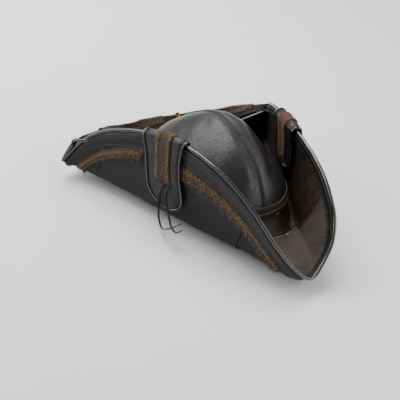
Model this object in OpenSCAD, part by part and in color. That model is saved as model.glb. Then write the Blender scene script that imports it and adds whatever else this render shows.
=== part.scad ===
// Leather tricorn hat with a round crown, turned-up brim, braid trim, strap tabs and lace tails.
// Frame: +Z up along the crown, the front point towards -Y, the wearer's right side towards -X.
// Origin: the middle of the head opening, level with the foot of the crown.

/* [Crown] */
// Width of the crown at its foot
crown_w = 172; // [140:1:206]
// Length of the crown at its foot
crown_l = 214; // [178:1:257]
// Height of the crown above the head opening
crown_h = 85; // [70:1:110]
// Distance the crown sits ahead of the origin
crown_ahead = 2.5; // [0:0.5:5]
// Thickness of the crown leather
crown_t = 2.4; // [1.6:0.1:3]
// Width of the raised strip over the crown seam
seam_w = 5.5; // [4:0.5:8]
// Thickness of the raised strip
seam_t = 1.2; // [0.8:0.1:2]

/* [Brim] */
// Reach of the front point ahead of the crown
front_reach = 108; // [90:1:130]
// Reach of the rear points beyond the crown's side
side_reach = 98; // [82:1:118]
// Reach of the back fold behind the crown
back_reach = 28; // [24:1:34]
// Height of the side rims above the head opening
side_h = 79; // [66:1:95]
// Depth of the brim's folds below the head opening
brim_drop = 23; // [19:1:28]
// Thickness of the brim leather
brim_t = 2.6; // [1.8:0.1:3.2]

/* [Rim] */
// Outer diameter of the rolled binding
bind_d = 5.2; // [4.4:0.2:7]
// Diameter of the wire inside the binding
wire_d = 1.6; // [1.4:0.1:2.6]
// Width of the plain leather border below the binding
border_w = 20; // [16:1:22]
// Thickness of the border leather
border_t = 1.2; // [0.8:0.1:1.6]

/* [Braid] */
// Width of the woven braid
braid_w = 14; // [10:1:17]
// Thickness of the woven braid
braid_t = 1.8; // [1:0.1:2.4]
// Diameter of the gold thread
thread_d = 1.1; // [0.8:0.1:1.6]
// Width of the gold zigzag
zig_w = 4; // [3:0.5:6]
// Length of one zig of the thread
zig_l = 8; // [6:1:12]

/* [Tabs] */
// Width of a strap tab
tab_w = 50; // [42:1:58]
// Length of a tab's outer leg
tab_out = 80; // [72:1:90]
// Length of a tab's inner leg
tab_in = 76; // [63:1:80]
// Distance the left tab sits ahead of the right one
left_tab_ahead = 14; // [0:1:18]
// Thickness of the tab leather
tab_t = 2.4; // [1.6:0.1:3]
// Gap between a tab and the brim
tab_gap = 5; // [4.5:0.1:6]
// Diameter of the piping along a tab's edge
pipe_d = 3.2; // [2.4:0.1:4]
// Width of the braid on a tab
tab_braid_w = 24; // [18:1:26]
// Length of the braid down a tab's outer leg
tab_braid_l = 48; // [38:1:48]

/* [Lacing] */
// Diameter of the lace
lace_d = 3.4; // [2.4:0.1:3.8]
// Diameter of a lace hole
lace_hole_d = 4.6; // [4.2:0.1:5.4]
// Distance between the two lace holes
lace_pitch = 7; // [6:0.5:9]
// Distance of the lace holes below the rim
lace_drop = 54; // [52:1:58]
// Distance the lace holes sit ahead of the tab's middle
lace_ahead = 5; // [0:0.5:8]

/* [Eyelets] */
// Outer diameter of an eyelet's flange
eyelet_d = 8.6; // [7.6:0.2:10]
// Bore of an eyelet
eyelet_bore = 4.4; // [3.6:0.1:5.2]
// Distance between the eyelets
eyelet_pitch = 26; // [20:1:32]
// Distance of the pair's middle from the hat's middle line
eyelet_side = 34; // [28:1:40]
// Distance of the eyelets from the flap's free edge
eyelet_in = 17; // [15:0.5:19]

/* [Band] */
// Height of each strand of the hat band
strand_h = 7; // [5:0.5:9]
// Thickness of the lower strand
lower_t = 3.2; // [2:0.1:4]
// Thickness of the upper strand
upper_t = 2; // [1.4:0.1:3]
// Height of the sweatband
sweat_h = 30; // [24:1:40]
// Thickness of the sweatband
sweat_t = 1.6; // [1:0.1:2.2]
// Thickness of the lining
lining_t = 1.2; // [0.8:0.1:1.6]

/* [Hidden] */

gap = 0.3;             // air between pieces that lie against each other
touch = 0.35;          // air under trim that is sewn on
plan_power = 2.3;      // squareness of the crown's plan
side_power = 1.6;      // roundness of the crown's profile
half_w = crown_w / 2;
front_l = crown_l / 2 + crown_ahead;
back_l = crown_l / 2 - crown_ahead;
bind_r = bind_d / 2;
fold_v = 0.55;         // section value where the wall begins
floor_v = 0.4;         // section value where the floor ends
edge_v = 1.5;          // section value at the edge of the turned-over flap
knot_n = 12;           // knots from the front point to the middle of the back

// The brim's outline is drawn for these sizes, and place() carries it to the sizes above.
drawn_w = 86;
drawn_front = 109.5;
drawn_back = 104.5;
drawn_side_reach = 98;
drawn_front_reach = 108;
drawn_back_reach = 28;
drawn_side_h = 79;
drawn_drop = 23;

// One row per knot: angle round the crown, the fold [side, forward, up], the rim and the flap's edge.
KNOTS = [
  [0,   [0, 204, -22],     [0, 211, -17],     [0, 211, -17]],
  [9,   [24, 191, -23],    [30, 201, 0],      [30, 201, 0]],
  [18,  [39, 161, -23],    [53, 179, 28],     [53, 179, 28]],
  [32,  [56, 128, -23],    [68, 137, 56],     [68, 137, 56]],
  [58,  [87, 74, -23],     [82, 73, 74],      [82, 73, 74]],
  [88,  [119, 7, -24],     [102, 4, 73],      [102, 4, 73]],
  [114, [153, -55, -23],   [134, -56, 52],    [134, -56, 52]],
  [127, [166, -82, -23],   [160, -84, 25],    [160, -84, 25]],
  [136, [174, -97, -21],   [180, -96, -12],   [180, -96, -12]],
  [143, [163, -104, -22],  [170, -97, 15],    [170, -97, 15]],
  [149, [140, -112, -23],  [155, -91, 33],    [145, -81, 27]],
  [163, [77, -124, -23],   [81, -118, 20],    [77, -100, -2]],
  [180, [0, -127, -23],    [0, -131, 12],     [0, -114, -2]]];

// ---- helpers ----
function unit(a) = a / norm(a);
function mix(a, b, t) = a + (b - a) * t;
function ease(t) = let (u = min(1, max(0, t))) u * u * (3 - 2 * u);
function steps(a, b, n) = [for (i = [0:n]) a + (b - a) * i / n];
function bend(a, k, b, t) = (1 - t) * (1 - t) * a + 2 * t * (1 - t) * k + t * t * b;
function catmull(a, b, c, d, t) =
  0.5 * (2 * b + (c - a) * t + (2 * a - 5 * b + 4 * c - d) * t * t + (3 * b - a - 3 * c + d) * t * t * t);

// ---- the brim's surface: s runs round the rim from the front point, v from the crown to the edge ----
function side_of(x) = x <= drawn_w ? half_w * x / drawn_w
  : half_w + (x - drawn_w) * side_reach / drawn_side_reach;
function forward_of(y) =
  y > drawn_front ? front_l + (y - drawn_front) * front_reach / drawn_front_reach
  : y > 0 ? front_l * y / drawn_front
  : y > -drawn_back ? back_l * y / drawn_back
  : -back_l + (y + drawn_back) * back_reach / drawn_back_reach;
function up_of(z) = z > 0 ? z * side_h / drawn_side_h : z * brim_drop / drawn_drop;
function place(p, side) = [side * side_of(p[0]), -forward_of(p[1]), up_of(p[2])];

function wrap(i) = ((i % (2 * knot_n)) + 2 * knot_n) % (2 * knot_n);
function knot(i, c) = let (k = wrap(i))
  k <= knot_n ? place(KNOTS[k][c], -1) : place(KNOTS[2 * knot_n - k][c], 1);
function turn(i) = let (k = wrap(i), whole = floor(i / (2 * knot_n)) * 360)
  whole + (k <= knot_n ? KNOTS[k][0] : 360 - KNOTS[2 * knot_n - k][0]);
function rail(s, c) = let (i = floor(s))
  catmull(knot(i - 1, c), knot(i, c), knot(i + 1, c), knot(i + 2, c), s - i);
function angle_at(s) = let (i = floor(s)) catmull(turn(i - 1), turn(i), turn(i + 1), turn(i + 2), s - i);

// Share of the turned-over flap, from 0 at the rear points to 1 across the back
function flap(s) = let (k = wrap(s)) ease((3 - abs(k - knot_n)) / 1.5);
function edge_of(s) = flap(s) > 0 ? edge_v : 1;

// Corner points of one section: crown, fold's two ends, rim's two ends and the free edge
function section(s) = let (
    e = foot(angle_at(s), gap), k = rail(s, 1), r = rail(s, 2), f = rail(s, 3),
    in_r = min(0.35 * norm(k - e), 17), up_r = min(0.45 * norm(r - k), 17),
    a = k + unit(e - k) * in_r, b = k + unit(r - k) * up_r,
    roll = 8 * flap(s), w = norm(f - r),
    c = r + unit(b - r) * roll, d = w > 0 ? r + (f - r) / w * min(roll, 0.45 * w) : r)
  [e, k, r, f, a, b, c, d];

function sec(s, v) = let (
    q = section(s), w = 0.1 * flap(s), v1 = 1 - w, v2 = 1 + w,
    out = unit([q[1][0] - q[0][0], q[1][1] - q[0][1], 0]))
  v < floor_v ? let (t = v / floor_v) mix(q[0], q[4], t) - [0, 0, 7] * sin(180 * t)
  : v < fold_v ? bend(q[4], q[1], q[5], (v - floor_v) / (fold_v - floor_v))
  : v < v1 || w == 0 ? let (t = (v - fold_v) / (v1 - fold_v))
      mix(q[5], q[6], t) + out * sin(180 * min(1, t)) * min(3, norm(q[6] - q[5]) * 0.04)
  : v < v2 ? bend(q[6], q[2], q[7], (v - v1) / (v2 - v1))
  : mix(q[7], q[3], (v - v2) / (edge_v - v2));

// Unit normal on the side that shows from outside
function out_of(s, v) = let (h = 0.02, top = edge_of(s),
    a = sec(s + h, v) - sec(s - h, v), b = sec(s, min(v + h, top)) - sec(s, max(v - h, 0)))
  unit(cross(b, a));
function skin(s, v, o) = sec(s, v) + o * out_of(s, v);

// Lengths of a section's stretches from the free edge: flap, its roll, wall, fold, floor
function lengths(s) = let (q = section(s), on = flap(s) > 0 ? 1 : 0)
  [on * norm(q[3] - q[7]), on * 1.1 * norm(q[6] - q[7]), norm(q[6] - q[5]), 1.1 * norm(q[4] - q[5]),
    norm(q[4] - q[0])];
// Section value at a distance below the free edge
function below(s, d) = let (
    w = 0.1 * flap(s), v1 = 1 - w, v2 = 1 + w,
    l = lengths(s), l1 = l[0], l2 = l[1], l3 = l[2], l4 = l[3], l5 = l[4])
  d < l1 ? edge_v - (edge_v - v2) * d / l1
  : d < l1 + l2 ? v2 - (v2 - v1) * (d - l1) / l2
  : d < l1 + l2 + l3 ? v1 - (v1 - fold_v) * (d - l1 - l2) / l3
  : d < l1 + l2 + l3 + l4 ? fold_v - (fold_v - floor_v) * (d - l1 - l2 - l3) / l4
  : floor_v - floor_v * (d - l1 - l2 - l3 - l4) / l5;

// ---- the crown's surface: angle from the front towards the wearer's right, height z ----
function power(a, p) = sign(a) * pow(abs(a), 2 / p);
// Above the sweatband the crown is pressed in a little over the wearer's left temple
hollow_at = 308;       // angle of the hollow
hollow_k = 0.14;       // its depth as a share of the radius
hollow_z = sweat_h - 4;
hollow_rise = 25;      // height over which it grows to its full depth
function hollow(angle, z) = let (turn = max(0, cos(angle - hollow_at)))
  hollow_k * pow(turn, 4) * ease((z - hollow_z) / hollow_rise);
function crown(angle, z, o) = let (
    t = min(1, z / crown_h), f = pow(max(0, 1 - pow(t, side_power)), 1 / side_power) * (1 - hollow(angle, z)),
    c = cos(angle), l = (c > 0 ? front_l : back_l) + o)
  [-(half_w + o) * f * power(sin(angle), plan_power), -l * f * power(c, plan_power), z + o * t];
function foot(angle, o) = crown(angle, 0, o);

// ---- solids made from grids of points ----
// A leather sheet between two offsets; at(s, q, o) gives a point. pole closes the last row to a point.
module sheet(S, Q, at, lo, hi, loop = false, pole = false) {
  ns = len(S);
  nq = len(Q) - (pole ? 1 : 0);
  one = ns * nq;
  tips = pole ? [at(S[0], Q[nq], hi), at(S[0], Q[nq], lo)] : [];
  pts = concat([for (o = [hi, lo]) for (s = S) for (j = [0:nq - 1]) at(s, Q[j], o)], tips);
  last = loop ? ns - 1 : ns - 2;
  out_faces = [for (i = [0:last]) for (j = [0:nq - 2])
    let (a = i * nq + j, b = ((i + 1) % ns) * nq + j)
    for (f = [[a, b, b + 1], [a, b + 1, a + 1]]) f];
  in_faces = [for (f = out_faces) [f[2] + one, f[1] + one, f[0] + one]];
  low_edge = [for (i = [0:last]) let (a = i * nq, b = ((i + 1) % ns) * nq)
    for (f = [[b, a, a + one], [b, a + one, b + one]]) f];
  top_edge = [for (i = [0:last]) let (a = i * nq + nq - 1, b = ((i + 1) % ns) * nq + nq - 1)
    for (f = pole ? [[a, b, 2 * one], [b + one, a + one, 2 * one + 1]]
      : [[a, b, b + one], [a, b + one, a + one]]) f];
  ends = loop ? [] : [for (j = [0:nq - 2]) let (a = j, b = (ns - 1) * nq + j)
    for (f = [[a, a + 1, a + 1 + one], [a, a + 1 + one, a + one],
      [b + 1, b, b + one], [b + 1, b + one, b + 1 + one]]) f];
  tip_ends = loop || !pole ? [] : let (a = nq - 1, b = ns * nq - 1)
    [[a, 2 * one, 2 * one + 1], [a, 2 * one + 1, a + one],
      [2 * one, b, b + one], [2 * one, b + one, 2 * one + 1]];
  polyhedron(pts, concat(out_faces, in_faces, low_edge, top_edge, ends, tip_ends));
}

// A round tube swept along points; each frame is [point, one way across, the other way across].
module tube(frames, r, sides, bore = 0) {
  n = len(frames);
  flip = cross(frames[0][1], frames[0][2]) * (frames[1][0] - frames[0][0]) < 0;
  function ring(f, rad) = [for (k = [0:sides - 1])
    let (a = (flip ? -1 : 1) * 360 * k / sides) f[0] + rad * (cos(a) * f[1] + sin(a) * f[2])];
  one = n * sides;
  pts = concat([for (f = frames) each ring(f, r)], bore > 0 ? [for (f = frames) each ring(f, bore)] : []);
  walls = [for (i = [0:n - 2]) for (k = [0:sides - 1])
    let (a = i * sides + k, b = i * sides + (k + 1) % sides)
    for (f = [[a, a + sides, b + sides], [a, b + sides, b]]) f];
  inner = bore > 0 ? [for (f = walls) [f[2] + one, f[1] + one, f[0] + one]] : [];
  caps = bore > 0
    ? [for (k = [0:sides - 1]) let (a = k, b = (k + 1) % sides, c = (n - 1) * sides + k,
        d = (n - 1) * sides + (k + 1) % sides)
      for (f = [[a, b, b + one], [a, b + one, a + one], [d, c, c + one], [d, c + one, d + one]]) f]
    : [[for (k = [0:sides - 1]) k], [for (k = [0:sides - 1]) one - 1 - k]];
  polyhedron(pts, concat(walls, inner, caps));
}

// Frames along free points, with ref roughly across the path
function frames_of(P, ref) = [for (i = [0:len(P) - 1])
  let (t = unit(P[min(i + 1, len(P) - 1)] - P[max(i - 1, 0)]), u = unit(cross(t, ref)))
  [P[i], u, unit(cross(t, u))]];
// Smooth points through a short list of hand-set ones
function smooth(P, n) = [for (i = [0:len(P) - 2]) for (k = [0:n - 1])
  catmull(P[max(0, i - 1)], P[i], P[i + 1], P[min(len(P) - 1, i + 2)], k / n), P[len(P) - 1]];

// ---- crown ----
crown_rows = [for (t = [0:10:90]) crown_h * sin(t)];
module crown_half(side) {
  at = function (a, z, o) crown(a, z, o) - [side * -gap / 2, 0, 0];
  sheet(side < 0 ? steps(0, 180, 18) : steps(180, 360, 18), crown_rows, at, -crown_t, 0, pole = true);
}
module crown_right_panel() { color("#4a4a4b") crown_half(-1); }
module crown_left_panel() { color("#4a4a4b") crown_half(1); }

// The seam's profile in the middle plane, from the front foot over the top to the back foot
seam_foot = 3;
function seam_z(u) = let (a = 90 - abs(u - 0.5) * 180) seam_foot + (crown_h - seam_foot) * sin(a);
function seam_pt(u, o) = crown(u < 0.5 ? 0 : 180, seam_z(u), o);
module crown_seam_strip() {
  at = function (u, q, o) seam_pt(u, o) + [q * seam_w / 2, 0, 0];
  color("#3c3c3e") sheet(steps(0.07, 0.93, 38), [1, 0, -1], at, touch, seam_t + touch);
}
module crown_seam_stitches() {
  stitch = 3.4;
  rows = 30;
  color("#6a6662")
  for (i = [0:rows - 1]) for (q = [-1, 1]) {
    u = 0.085 + 0.83 * (i + 0.5) / rows;
    p = seam_pt(u, seam_t + touch);
    d = seam_pt(u + 0.01, seam_t) - seam_pt(u - 0.01, seam_t);
    translate(p + [q * seam_w * 0.3, 0, 0]) rotate([atan2(d[2], d[1]), 0, 0])
      translate([-0.4, -stitch / 2, d[1] > 0 ? 0 : -0.5]) cube([0.8, stitch, 0.5]);
  }
}
lining_rows = [for (t = [2, 10, 20, 30, 40, 50, 60, 70, 80, 90]) crown_h * sin(t)];
module crown_lining() {
  at = function (a, z, o) crown(a, z, o);
  color("#20201f") sheet(steps(0, 350, 35), lining_rows, at,
    -crown_t - 2 * gap - lining_t, -crown_t - 2 * gap, loop = true, pole = true);
}
module sweatband() {
  outer = crown_t + lining_t + 4 * gap;
  at = function (a, z, o) crown(a, max(0, z), o) + [0, 0, min(0, z)];
  color("#2a2320") sheet(steps(0, 350, 35), steps(-2, sweat_h - 2, 4), at,
    -outer - sweat_t, -outer, loop = true);
}

// ---- hat band: two flat leather strands round the foot of the crown ----
band_z = brim_t + gap;
module strand(z0, t) {
  at = function (a, z, o) crown(a, z, o);
  sheet(steps(0, 350, 35), [z0, z0 + strand_h * 0.25, z0 + strand_h * 0.75, z0 + strand_h], at,
    touch, touch + t, loop = true);
}
module hat_band_lower() { color("#5b4842") strand(band_z, lower_t); }
module hat_band_upper() { color("#6a554c") strand(band_z + strand_h + gap, upper_t); }

// ---- brim panels ----
front_s = 3;           // where the front panel's seams cross the sides
rear_s = 6.1;          // where the back panel's seams cross the sides
seam_gap = 0.006;      // half of the gap between two panels, as a share of a knot step
// The arc seam of the front: it crosses the floor and runs up both walls
function front_cut(s) = let (k = s / front_s) 0.13 + 0.2 * k * k + 0.2 * pow(k, 6);
module panel(S, Q) { sheet(S, Q, function (s, q, o) skin(s, q, o), -brim_t, 0); }

module lace_holes(side) {
  for (q = [-1, 1]) {
    s = lace_s(side, q);
    v = below(s, lace_drop);
    n = out_of(s, v);
    translate(sec(s, v)) rotate([0, acos(n[2]), atan2(n[1], n[0])])
      cylinder(h = 60, d = lace_hole_d, center = true, $fn = 24);
  }
}
module brim_front_panel() {
  color("#3b332e") sheet(steps(-front_s + seam_gap, front_s - seam_gap, 30),
    [0, 0.1, 0.2, 0.3, 0.36, 0.42, 0.48, 0.54, 0.65, 0.76, 0.88, 1],
    function (s, q, o) skin(s, mix(front_cut(s), 1, q), o), -brim_t, 0);
}
module brim_front_floor() {
  color("#2c2c2e") sheet(steps(-front_s + seam_gap, front_s - seam_gap, 30), steps(0, 1, 7),
    function (s, q, o) skin(s, q * (front_cut(s) - 0.006), o), -brim_t, 0);
}
side_rows = [0, 0.1, 0.2, 0.3, 0.4, 0.45, 0.5, 0.55, 0.66, 0.77, 0.88, 1];
module side_panel(side) {
  a = side < 0 ? front_s + seam_gap : 2 * knot_n - rear_s + seam_gap;
  b = side < 0 ? rear_s - seam_gap : 2 * knot_n - front_s - seam_gap;
  difference() {
    panel(steps(a, b, 18), side_rows);
    lace_holes(side);
  }
}
module brim_right_panel() { color("#343437") side_panel(-1); }
module brim_left_panel() { color("#343437") side_panel(1); }
// Rows 0 to 1 cross the floor, 1 to 2 the fold, and 2 to 3 the wall and the turned-over flap
back_rows = [0, 0.33, 0.67, 1, 1.33, 1.67, 2, 2.14, 2.3, 2.46, 2.58, 2.7, 2.85, 3];
function back_v(s, q) = q <= 1 ? floor_v * q : q <= 2 ? mix(floor_v, fold_v, q - 1)
  : let (l = lengths(s)) below(s, (3 - q) * (l[0] + l[1] + l[2]));
module brim_back_panel() {
  near = steps(rear_s + seam_gap, 7, 3);
  corner = steps(7.25, 10, 11);
  far = 2 * knot_n;
  ends = concat(near, corner);
  all_s = concat(ends, steps(10.35, 13.65, 14), [for (i = [len(ends) - 1:-1:0]) far - ends[i]]);
  color("#313134") difference() {
    sheet(all_s, back_rows, function (s, q, o) skin(s, back_v(s, q), o), -brim_t, 0);
    for (q = [-1, 1]) eyelet_place(q) cylinder(h = 12, d = eyelet_bore + 2.4, center = true, $fn = 24);
  }
}

// ---- rim: rolled binding over a wire ----
// Way the binding stands off the edge: up along the wall, then over and down as the flap turns over
function edge_way(s) = let (v = edge_of(s), d = unit(sec(s, v) - sec(s, v - 0.02)),
    t = ease((3 - abs(wrap(s) - knot_n)) / 1.2), w = unit(rail(s, 2) - section(s)[5]))
  t > 0 && t < 1 ? unit((1 - t) * w + t * d - 3 * t * (1 - t) * out_of(s, 0.8)) : d;
function rim_frame(s) = let (v = edge_of(s), n = out_of(s, v), d = edge_way(s),
    a = unit(sec(s + 0.02, edge_of(s + 0.02)) - sec(s - 0.02, edge_of(s - 0.02))),
    e = unit(d - a * (a * d)), m = cross(a, e))
  [skin(s, v, -brim_t / 2) + e * (bind_r + touch), m, e];
rim_frames = [for (s = steps(knot_n + 0.02, 3 * knot_n - 0.02, 84)) rim_frame(s)];
wire_air = 0.55;       // air round the wire, which is only gripped where the rim turns over
module rim_binding() { color("#232326") tube(rim_frames, bind_r, 8, wire_d / 2 + wire_air); }
module rim_wire() { color("#8c8c8c") tube(rim_frames, wire_d / 2, 6); }

// ---- trim that follows the rim ----
module strip(S, d0, d1, t, rows = 3, lift = touch) {
  sheet(S, steps(1, 0, rows), function (s, q, o) skin(s, below(s, mix(d0(s), d1(s), q)), o), lift, lift + t);
}
border_top = function (s) 0.6;
border_low = function (s) border_w;
module right_border() { color("#29292b") strip(steps(0.35, 7.9, 36), border_top, border_low, border_t); }
module left_border() {
  color("#29292b") strip(steps(2 * knot_n - 7.9, 2 * knot_n - 0.35, 36), border_top, border_low, border_t);
}
// On the flap the border is narrower, and the braid lies on both sides of the eyelets
back_border_w = 7;
module back_border() {
  low = function (s) back_border_w;
  color("#29292b") strip(steps(10.2, 2 * knot_n - 10.2, 30), border_top, low, border_t);
}
// The braid drops away from the rim towards the rear points
function braid_at(s) = let (k = min(wrap(s), 2 * knot_n - wrap(s)))
  border_w + gap + 12 * ease((k - 5.5) / 1.2);
braid_top = function (s) braid_at(s);
braid_low = function (s) braid_at(s) + braid_w;
front_braid_s = [1.45, 4.5];
rear_braid_s = [5.35, 7.3];
back_braids_s = [[10.4, 11.95], [12.95, 13.7]];
braid_lift = 0.6;      // air under the braid, which passes over the panel seams
thread_lift = 0.3;     // air the zigzag has beyond its usual gap
module side_braid(ends, side, n) {
  S = side < 0 ? steps(ends[0], ends[1], n) : steps(2 * knot_n - ends[1], 2 * knot_n - ends[0], n);
  color(side < 0 ? "#5a4836" : "#65452f") strip(S, braid_top, braid_low, braid_t, lift = braid_lift);
}
module right_front_braid() { side_braid(front_braid_s, -1, 22); }
module left_front_braid() { side_braid(front_braid_s, 1, 22); }
module right_rear_braid() { side_braid(rear_braid_s, -1, 16); }
module left_rear_braid() { side_braid(rear_braid_s, 1, 16); }
module back_braid() {
  top = function (s) back_border_w + gap;
  low = function (s) back_border_w + gap + braid_w;
  color("#5a4836") for (e = back_braids_s) strip(steps(e[0], e[1], 14), top, low, braid_t, 8, braid_lift);
}

// Gold thread that zigzags along the braid's upper edge, as a flat ribbon
module zigzag(s0, s1, n, d, o) {
  at = function (i, q, h) let (s = mix(s0, s1, i / n))
    skin(s, below(s, d(s) + 1.2 + (i % 2) * zig_w + (1 - q) * thread_d), h);
  sheet([for (i = [0:n]) i], [0, 1], at, o + gap, o + gap + thread_d);
}
step_mm = 70;          // about one knot step, in mm
function zigs(ends) = 2 * round((ends[1] - ends[0]) * step_mm / zig_l);
module side_zigzag(ends, side) {
  a = side < 0 ? ends[0] : 2 * knot_n - ends[1];
  b = side < 0 ? ends[1] : 2 * knot_n - ends[0];
  color("#b08d4f") zigzag(a + 0.04, b - 0.04, zigs(ends), braid_top, braid_t + braid_lift + thread_lift);
}
module right_front_zigzag() { side_zigzag(front_braid_s, -1); }
module left_front_zigzag() { side_zigzag(front_braid_s, 1); }
module right_rear_zigzag() { side_zigzag(rear_braid_s, -1); }
module left_rear_zigzag() { side_zigzag(rear_braid_s, 1); }
module back_zigzag() {
  top = function (s) back_border_w + gap;
  color("#b08d4f") for (e = back_braids_s)
    zigzag(e[0] + 0.04, e[1] - 0.04, zigs(e), top, braid_t + braid_lift + thread_lift);
}

// ---- strap tabs that wrap over the side rims ----
tab_s = 5.03;          // knot value where a tab crosses the rim
tab_lean = 0.0062;     // lean of the outer leg towards the front, in knots per mm
tab_lean_in = 0.003;   // lean of the inner leg
tab_step = 77;         // one knot step at the tabs, in mm
tab_round = 24;        // length of a leg's rounded end
arch_flat = 0.75;      // height of the arch over the rim, as a share of its half width
// Path value p: the outer leg from tab_out down to 0, the arch from 0 to -1, the inner leg below -1
function leg(p) = p >= 0 ? p : p <= -1 ? -1 - p : 0;
function tab_half(p) = let (len_p = p >= 0 ? tab_out : tab_in, d = leg(p),
    flare = 1 + 0.14 * ease(1 - d / 22), r = max(0, (d - (len_p - tab_round)) / tab_round))
  tab_w / 2 * flare * sqrt(max(0.04, 1 - 0.96 * r * r));
function tab_mid(p, side) = tab_s - (side < 0 ? 0 : left_tab_ahead / tab_step)
  - (p >= 0 ? tab_lean * p : p <= -1 ? tab_lean_in * leg(p) : 0);
function tab_pt(side, p, across, o) = let (
    k = tab_mid(p, side) - across / tab_step, s = side < 0 ? k : 2 * knot_n - k,
    d = leg(p), v = below(s, d), f = rim_frame(s), phi = 180 * min(1, max(0, -p)))
  p > 0 ? skin(s, v, tab_gap + o)
  : p < -1 ? skin(s, v, -brim_t - tab_gap - o)
  : f[0] - f[2] * (bind_r + touch) * (1 - sin(phi))
    + (tab_gap + brim_t / 2 + o) * (cos(phi) * out_of(s, 1) + arch_flat * sin(phi) * f[2]);
tab_path = concat([for (d = [1, 0.95, 0.88, 0.8, 0.7, 0.55, 0.4, 0.25, 0.1]) d * tab_out],
  [for (a = [0:-1 / 8:-1]) a], [for (d = [0.12, 0.3, 0.5, 0.68, 0.8, 0.9, 1]) -1 - d * tab_in]);
module tab(side) {
  at = function (p, q, o) tab_pt(side, p, q * tab_half(p), o);
  difference() {
    sheet(tab_path, side < 0 ? steps(-1, 1, 6) : steps(1, -1, 6), at, 0, tab_t);
    lace_holes(side);
  }
}
module right_tab() { color("#2d2b2b") tab(-1); }
module left_tab() { color("#2d2b2b") tab(1); }

// Piping round the whole edge of a tab
module tab_piping(side) {
  r = pipe_d / 2;
  edge = function (p, q) tab_pt(side, p, q * (tab_half(p) + r + touch), tab_t / 2);
  ends = function (len_p, sgn) [for (q = [1 : -0.25 : -1])
    let (p = sgn > 0 ? len_p : -1 - len_p, h = tab_half(p))
    tab_pt(side, sgn > 0 ? p + (r + touch) * sqrt(1 - q * q * 0.6) : p - (r + touch) * sqrt(1 - q * q * 0.6),
      q * (h + (r + touch) * 0.7), tab_t / 2)];
  P = concat([for (p = tab_path) if (p != tab_path[0] && p != tab_path[len(tab_path) - 1]) edge(p, 1)],
    ends(tab_in, -1),
    [for (i = [len(tab_path) - 2:-1:1]) edge(tab_path[i], -1)],
    [for (e = [len(ends(tab_out, 1)) - 1:-1:1]) ends(tab_out, 1)[e]]);
  n = len(P);
  tube([for (i = [0:n - 1]) let (t = unit(P[(i + 1) % n] - P[(i + n - 1) % n]),
      u = unit(cross(t, [0.31, 0.17, 0.94])))
    [P[i], u, unit(cross(t, u))]], r, 6);
}
module right_tab_piping() { color("#1f1f22") tab_piping(-1); }
module left_tab_piping() { color("#1f1f22") tab_piping(1); }

// Braid down the middle of a tab, on both legs, with a zigzag along each edge
tab_braid_path = concat([for (d = [1, 0.75, 0.5, 0.25]) d * tab_braid_l], [for (a = [0:-0.125:-1]) a],
  [for (d = [0.25, 0.5, 0.75, 1]) -1 - d * tab_braid_l]);
module tab_braid(side) {
  at = function (p, q, o) tab_pt(side, p, q * tab_braid_w / 2, o);
  sheet(tab_braid_path, side < 0 ? [-1, 0, 1] : [1, 0, -1], at, tab_t + touch, tab_t + touch + braid_t);
}
module right_tab_braid() { color("#5a4836") tab_braid(-1); }
module left_tab_braid() { color("#6d4630") tab_braid(1); }
module tab_zigzags(side) {
  n = 2 * round(tab_braid_l / zig_l * 1.2);
  o = tab_t + touch + braid_t + gap;
  for (q = [-1, 1]) {
    at = function (i, u, h) tab_pt(side, tab_braid_l * (1 - i / n) + 1,
      q * (tab_braid_w / 2 - 1 - (i % 2) * zig_w - u * thread_d), h);
    sheet([for (i = [0:n]) i], q * side > 0 ? [0, 1] : [1, 0], at, o, o + thread_d);
  }
}
module right_tab_zigzags() { color("#b08d4f") tab_zigzags(-1); }
module left_tab_zigzags() { color("#b08d4f") tab_zigzags(1); }

// ---- lacing: one thong through the tab and the brim, and its two hanging tails ----
function lace_s(side, q) = let (k = tab_mid(lace_drop, side) - (lace_ahead + q * lace_pitch / 2) / tab_step)
  side < 0 ? k : 2 * knot_n - k;
function lace_pt(side, q, o) = let (s = lace_s(side, q), v = below(s, lace_drop), n = out_of(s, v))
  sec(s, v) + o * n;
lace_face = tab_gap + tab_t;
// Routes of the two tails on the wearer's right side, from the holes down; the left side mirrors them
REAR_TAIL = [[-115, -31.5, 23], [-117, -32, 18], [-117, -32, 10], [-116, -34, 0], [-116, -36, -10],
  [-116, -40, -19], [-117, -46, -24], [-119, -54, -25], [-121, -61, -21], [-122, -69, -14],
  [-120, -77, -5], [-118, -84, 4]];
FRONT_TAIL = [[-112.5, -38, 23], [-115.5, -41, 19], [-117, -46, 12], [-116, -51, 3], [-115, -58, -7],
  [-115, -65, -15], [-115, -74, -17], [-117, -82, -11], [-118, -88, -3]];
// The left route also moves ahead along the wall with its tab
tail_shift = [-0.35, -0.92, 0] * left_tab_ahead;
function sided(P, side) = [for (p = P) [p[0] * -side, p[1], p[2]] + (side > 0 ? tail_shift : [0, 0, 0])];
module lace(side) {
  inner = -brim_t - tab_gap - tab_t - lace_d / 2 - gap;
  a = lace_pt(side, -1, inner);
  b = lace_pt(side, 1, inner);
  P = [lace_pt(side, -1, lace_face + touch), lace_pt(side, -1, 0),
    lace_pt(side, -1, inner + 2), mix(a, b, 0.15), mix(a, b, 0.85),
    lace_pt(side, 1, inner + 2), lace_pt(side, 1, 0), lace_pt(side, 1, lace_face + touch)];
  tube(frames_of(P, [0, 0.3, 1]), lace_d / 2, 8);
}
module right_lace() { color("#3a2c2a") lace(-1); }
module left_lace() { color("#3a2c2a") lace(1); }
module tail(route, side) {
  color("#3a2c2a") tube(frames_of(smooth(sided(route, side), 2), [1, 0, 0.1]), lace_d / 2, 8);
}
module right_rear_tail() { tail(REAR_TAIL, -1); }
module right_front_tail() { tail(FRONT_TAIL, -1); }
module left_rear_tail() { tail(REAR_TAIL, 1); }
module left_front_tail() { tail(FRONT_TAIL, 1); }

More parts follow.
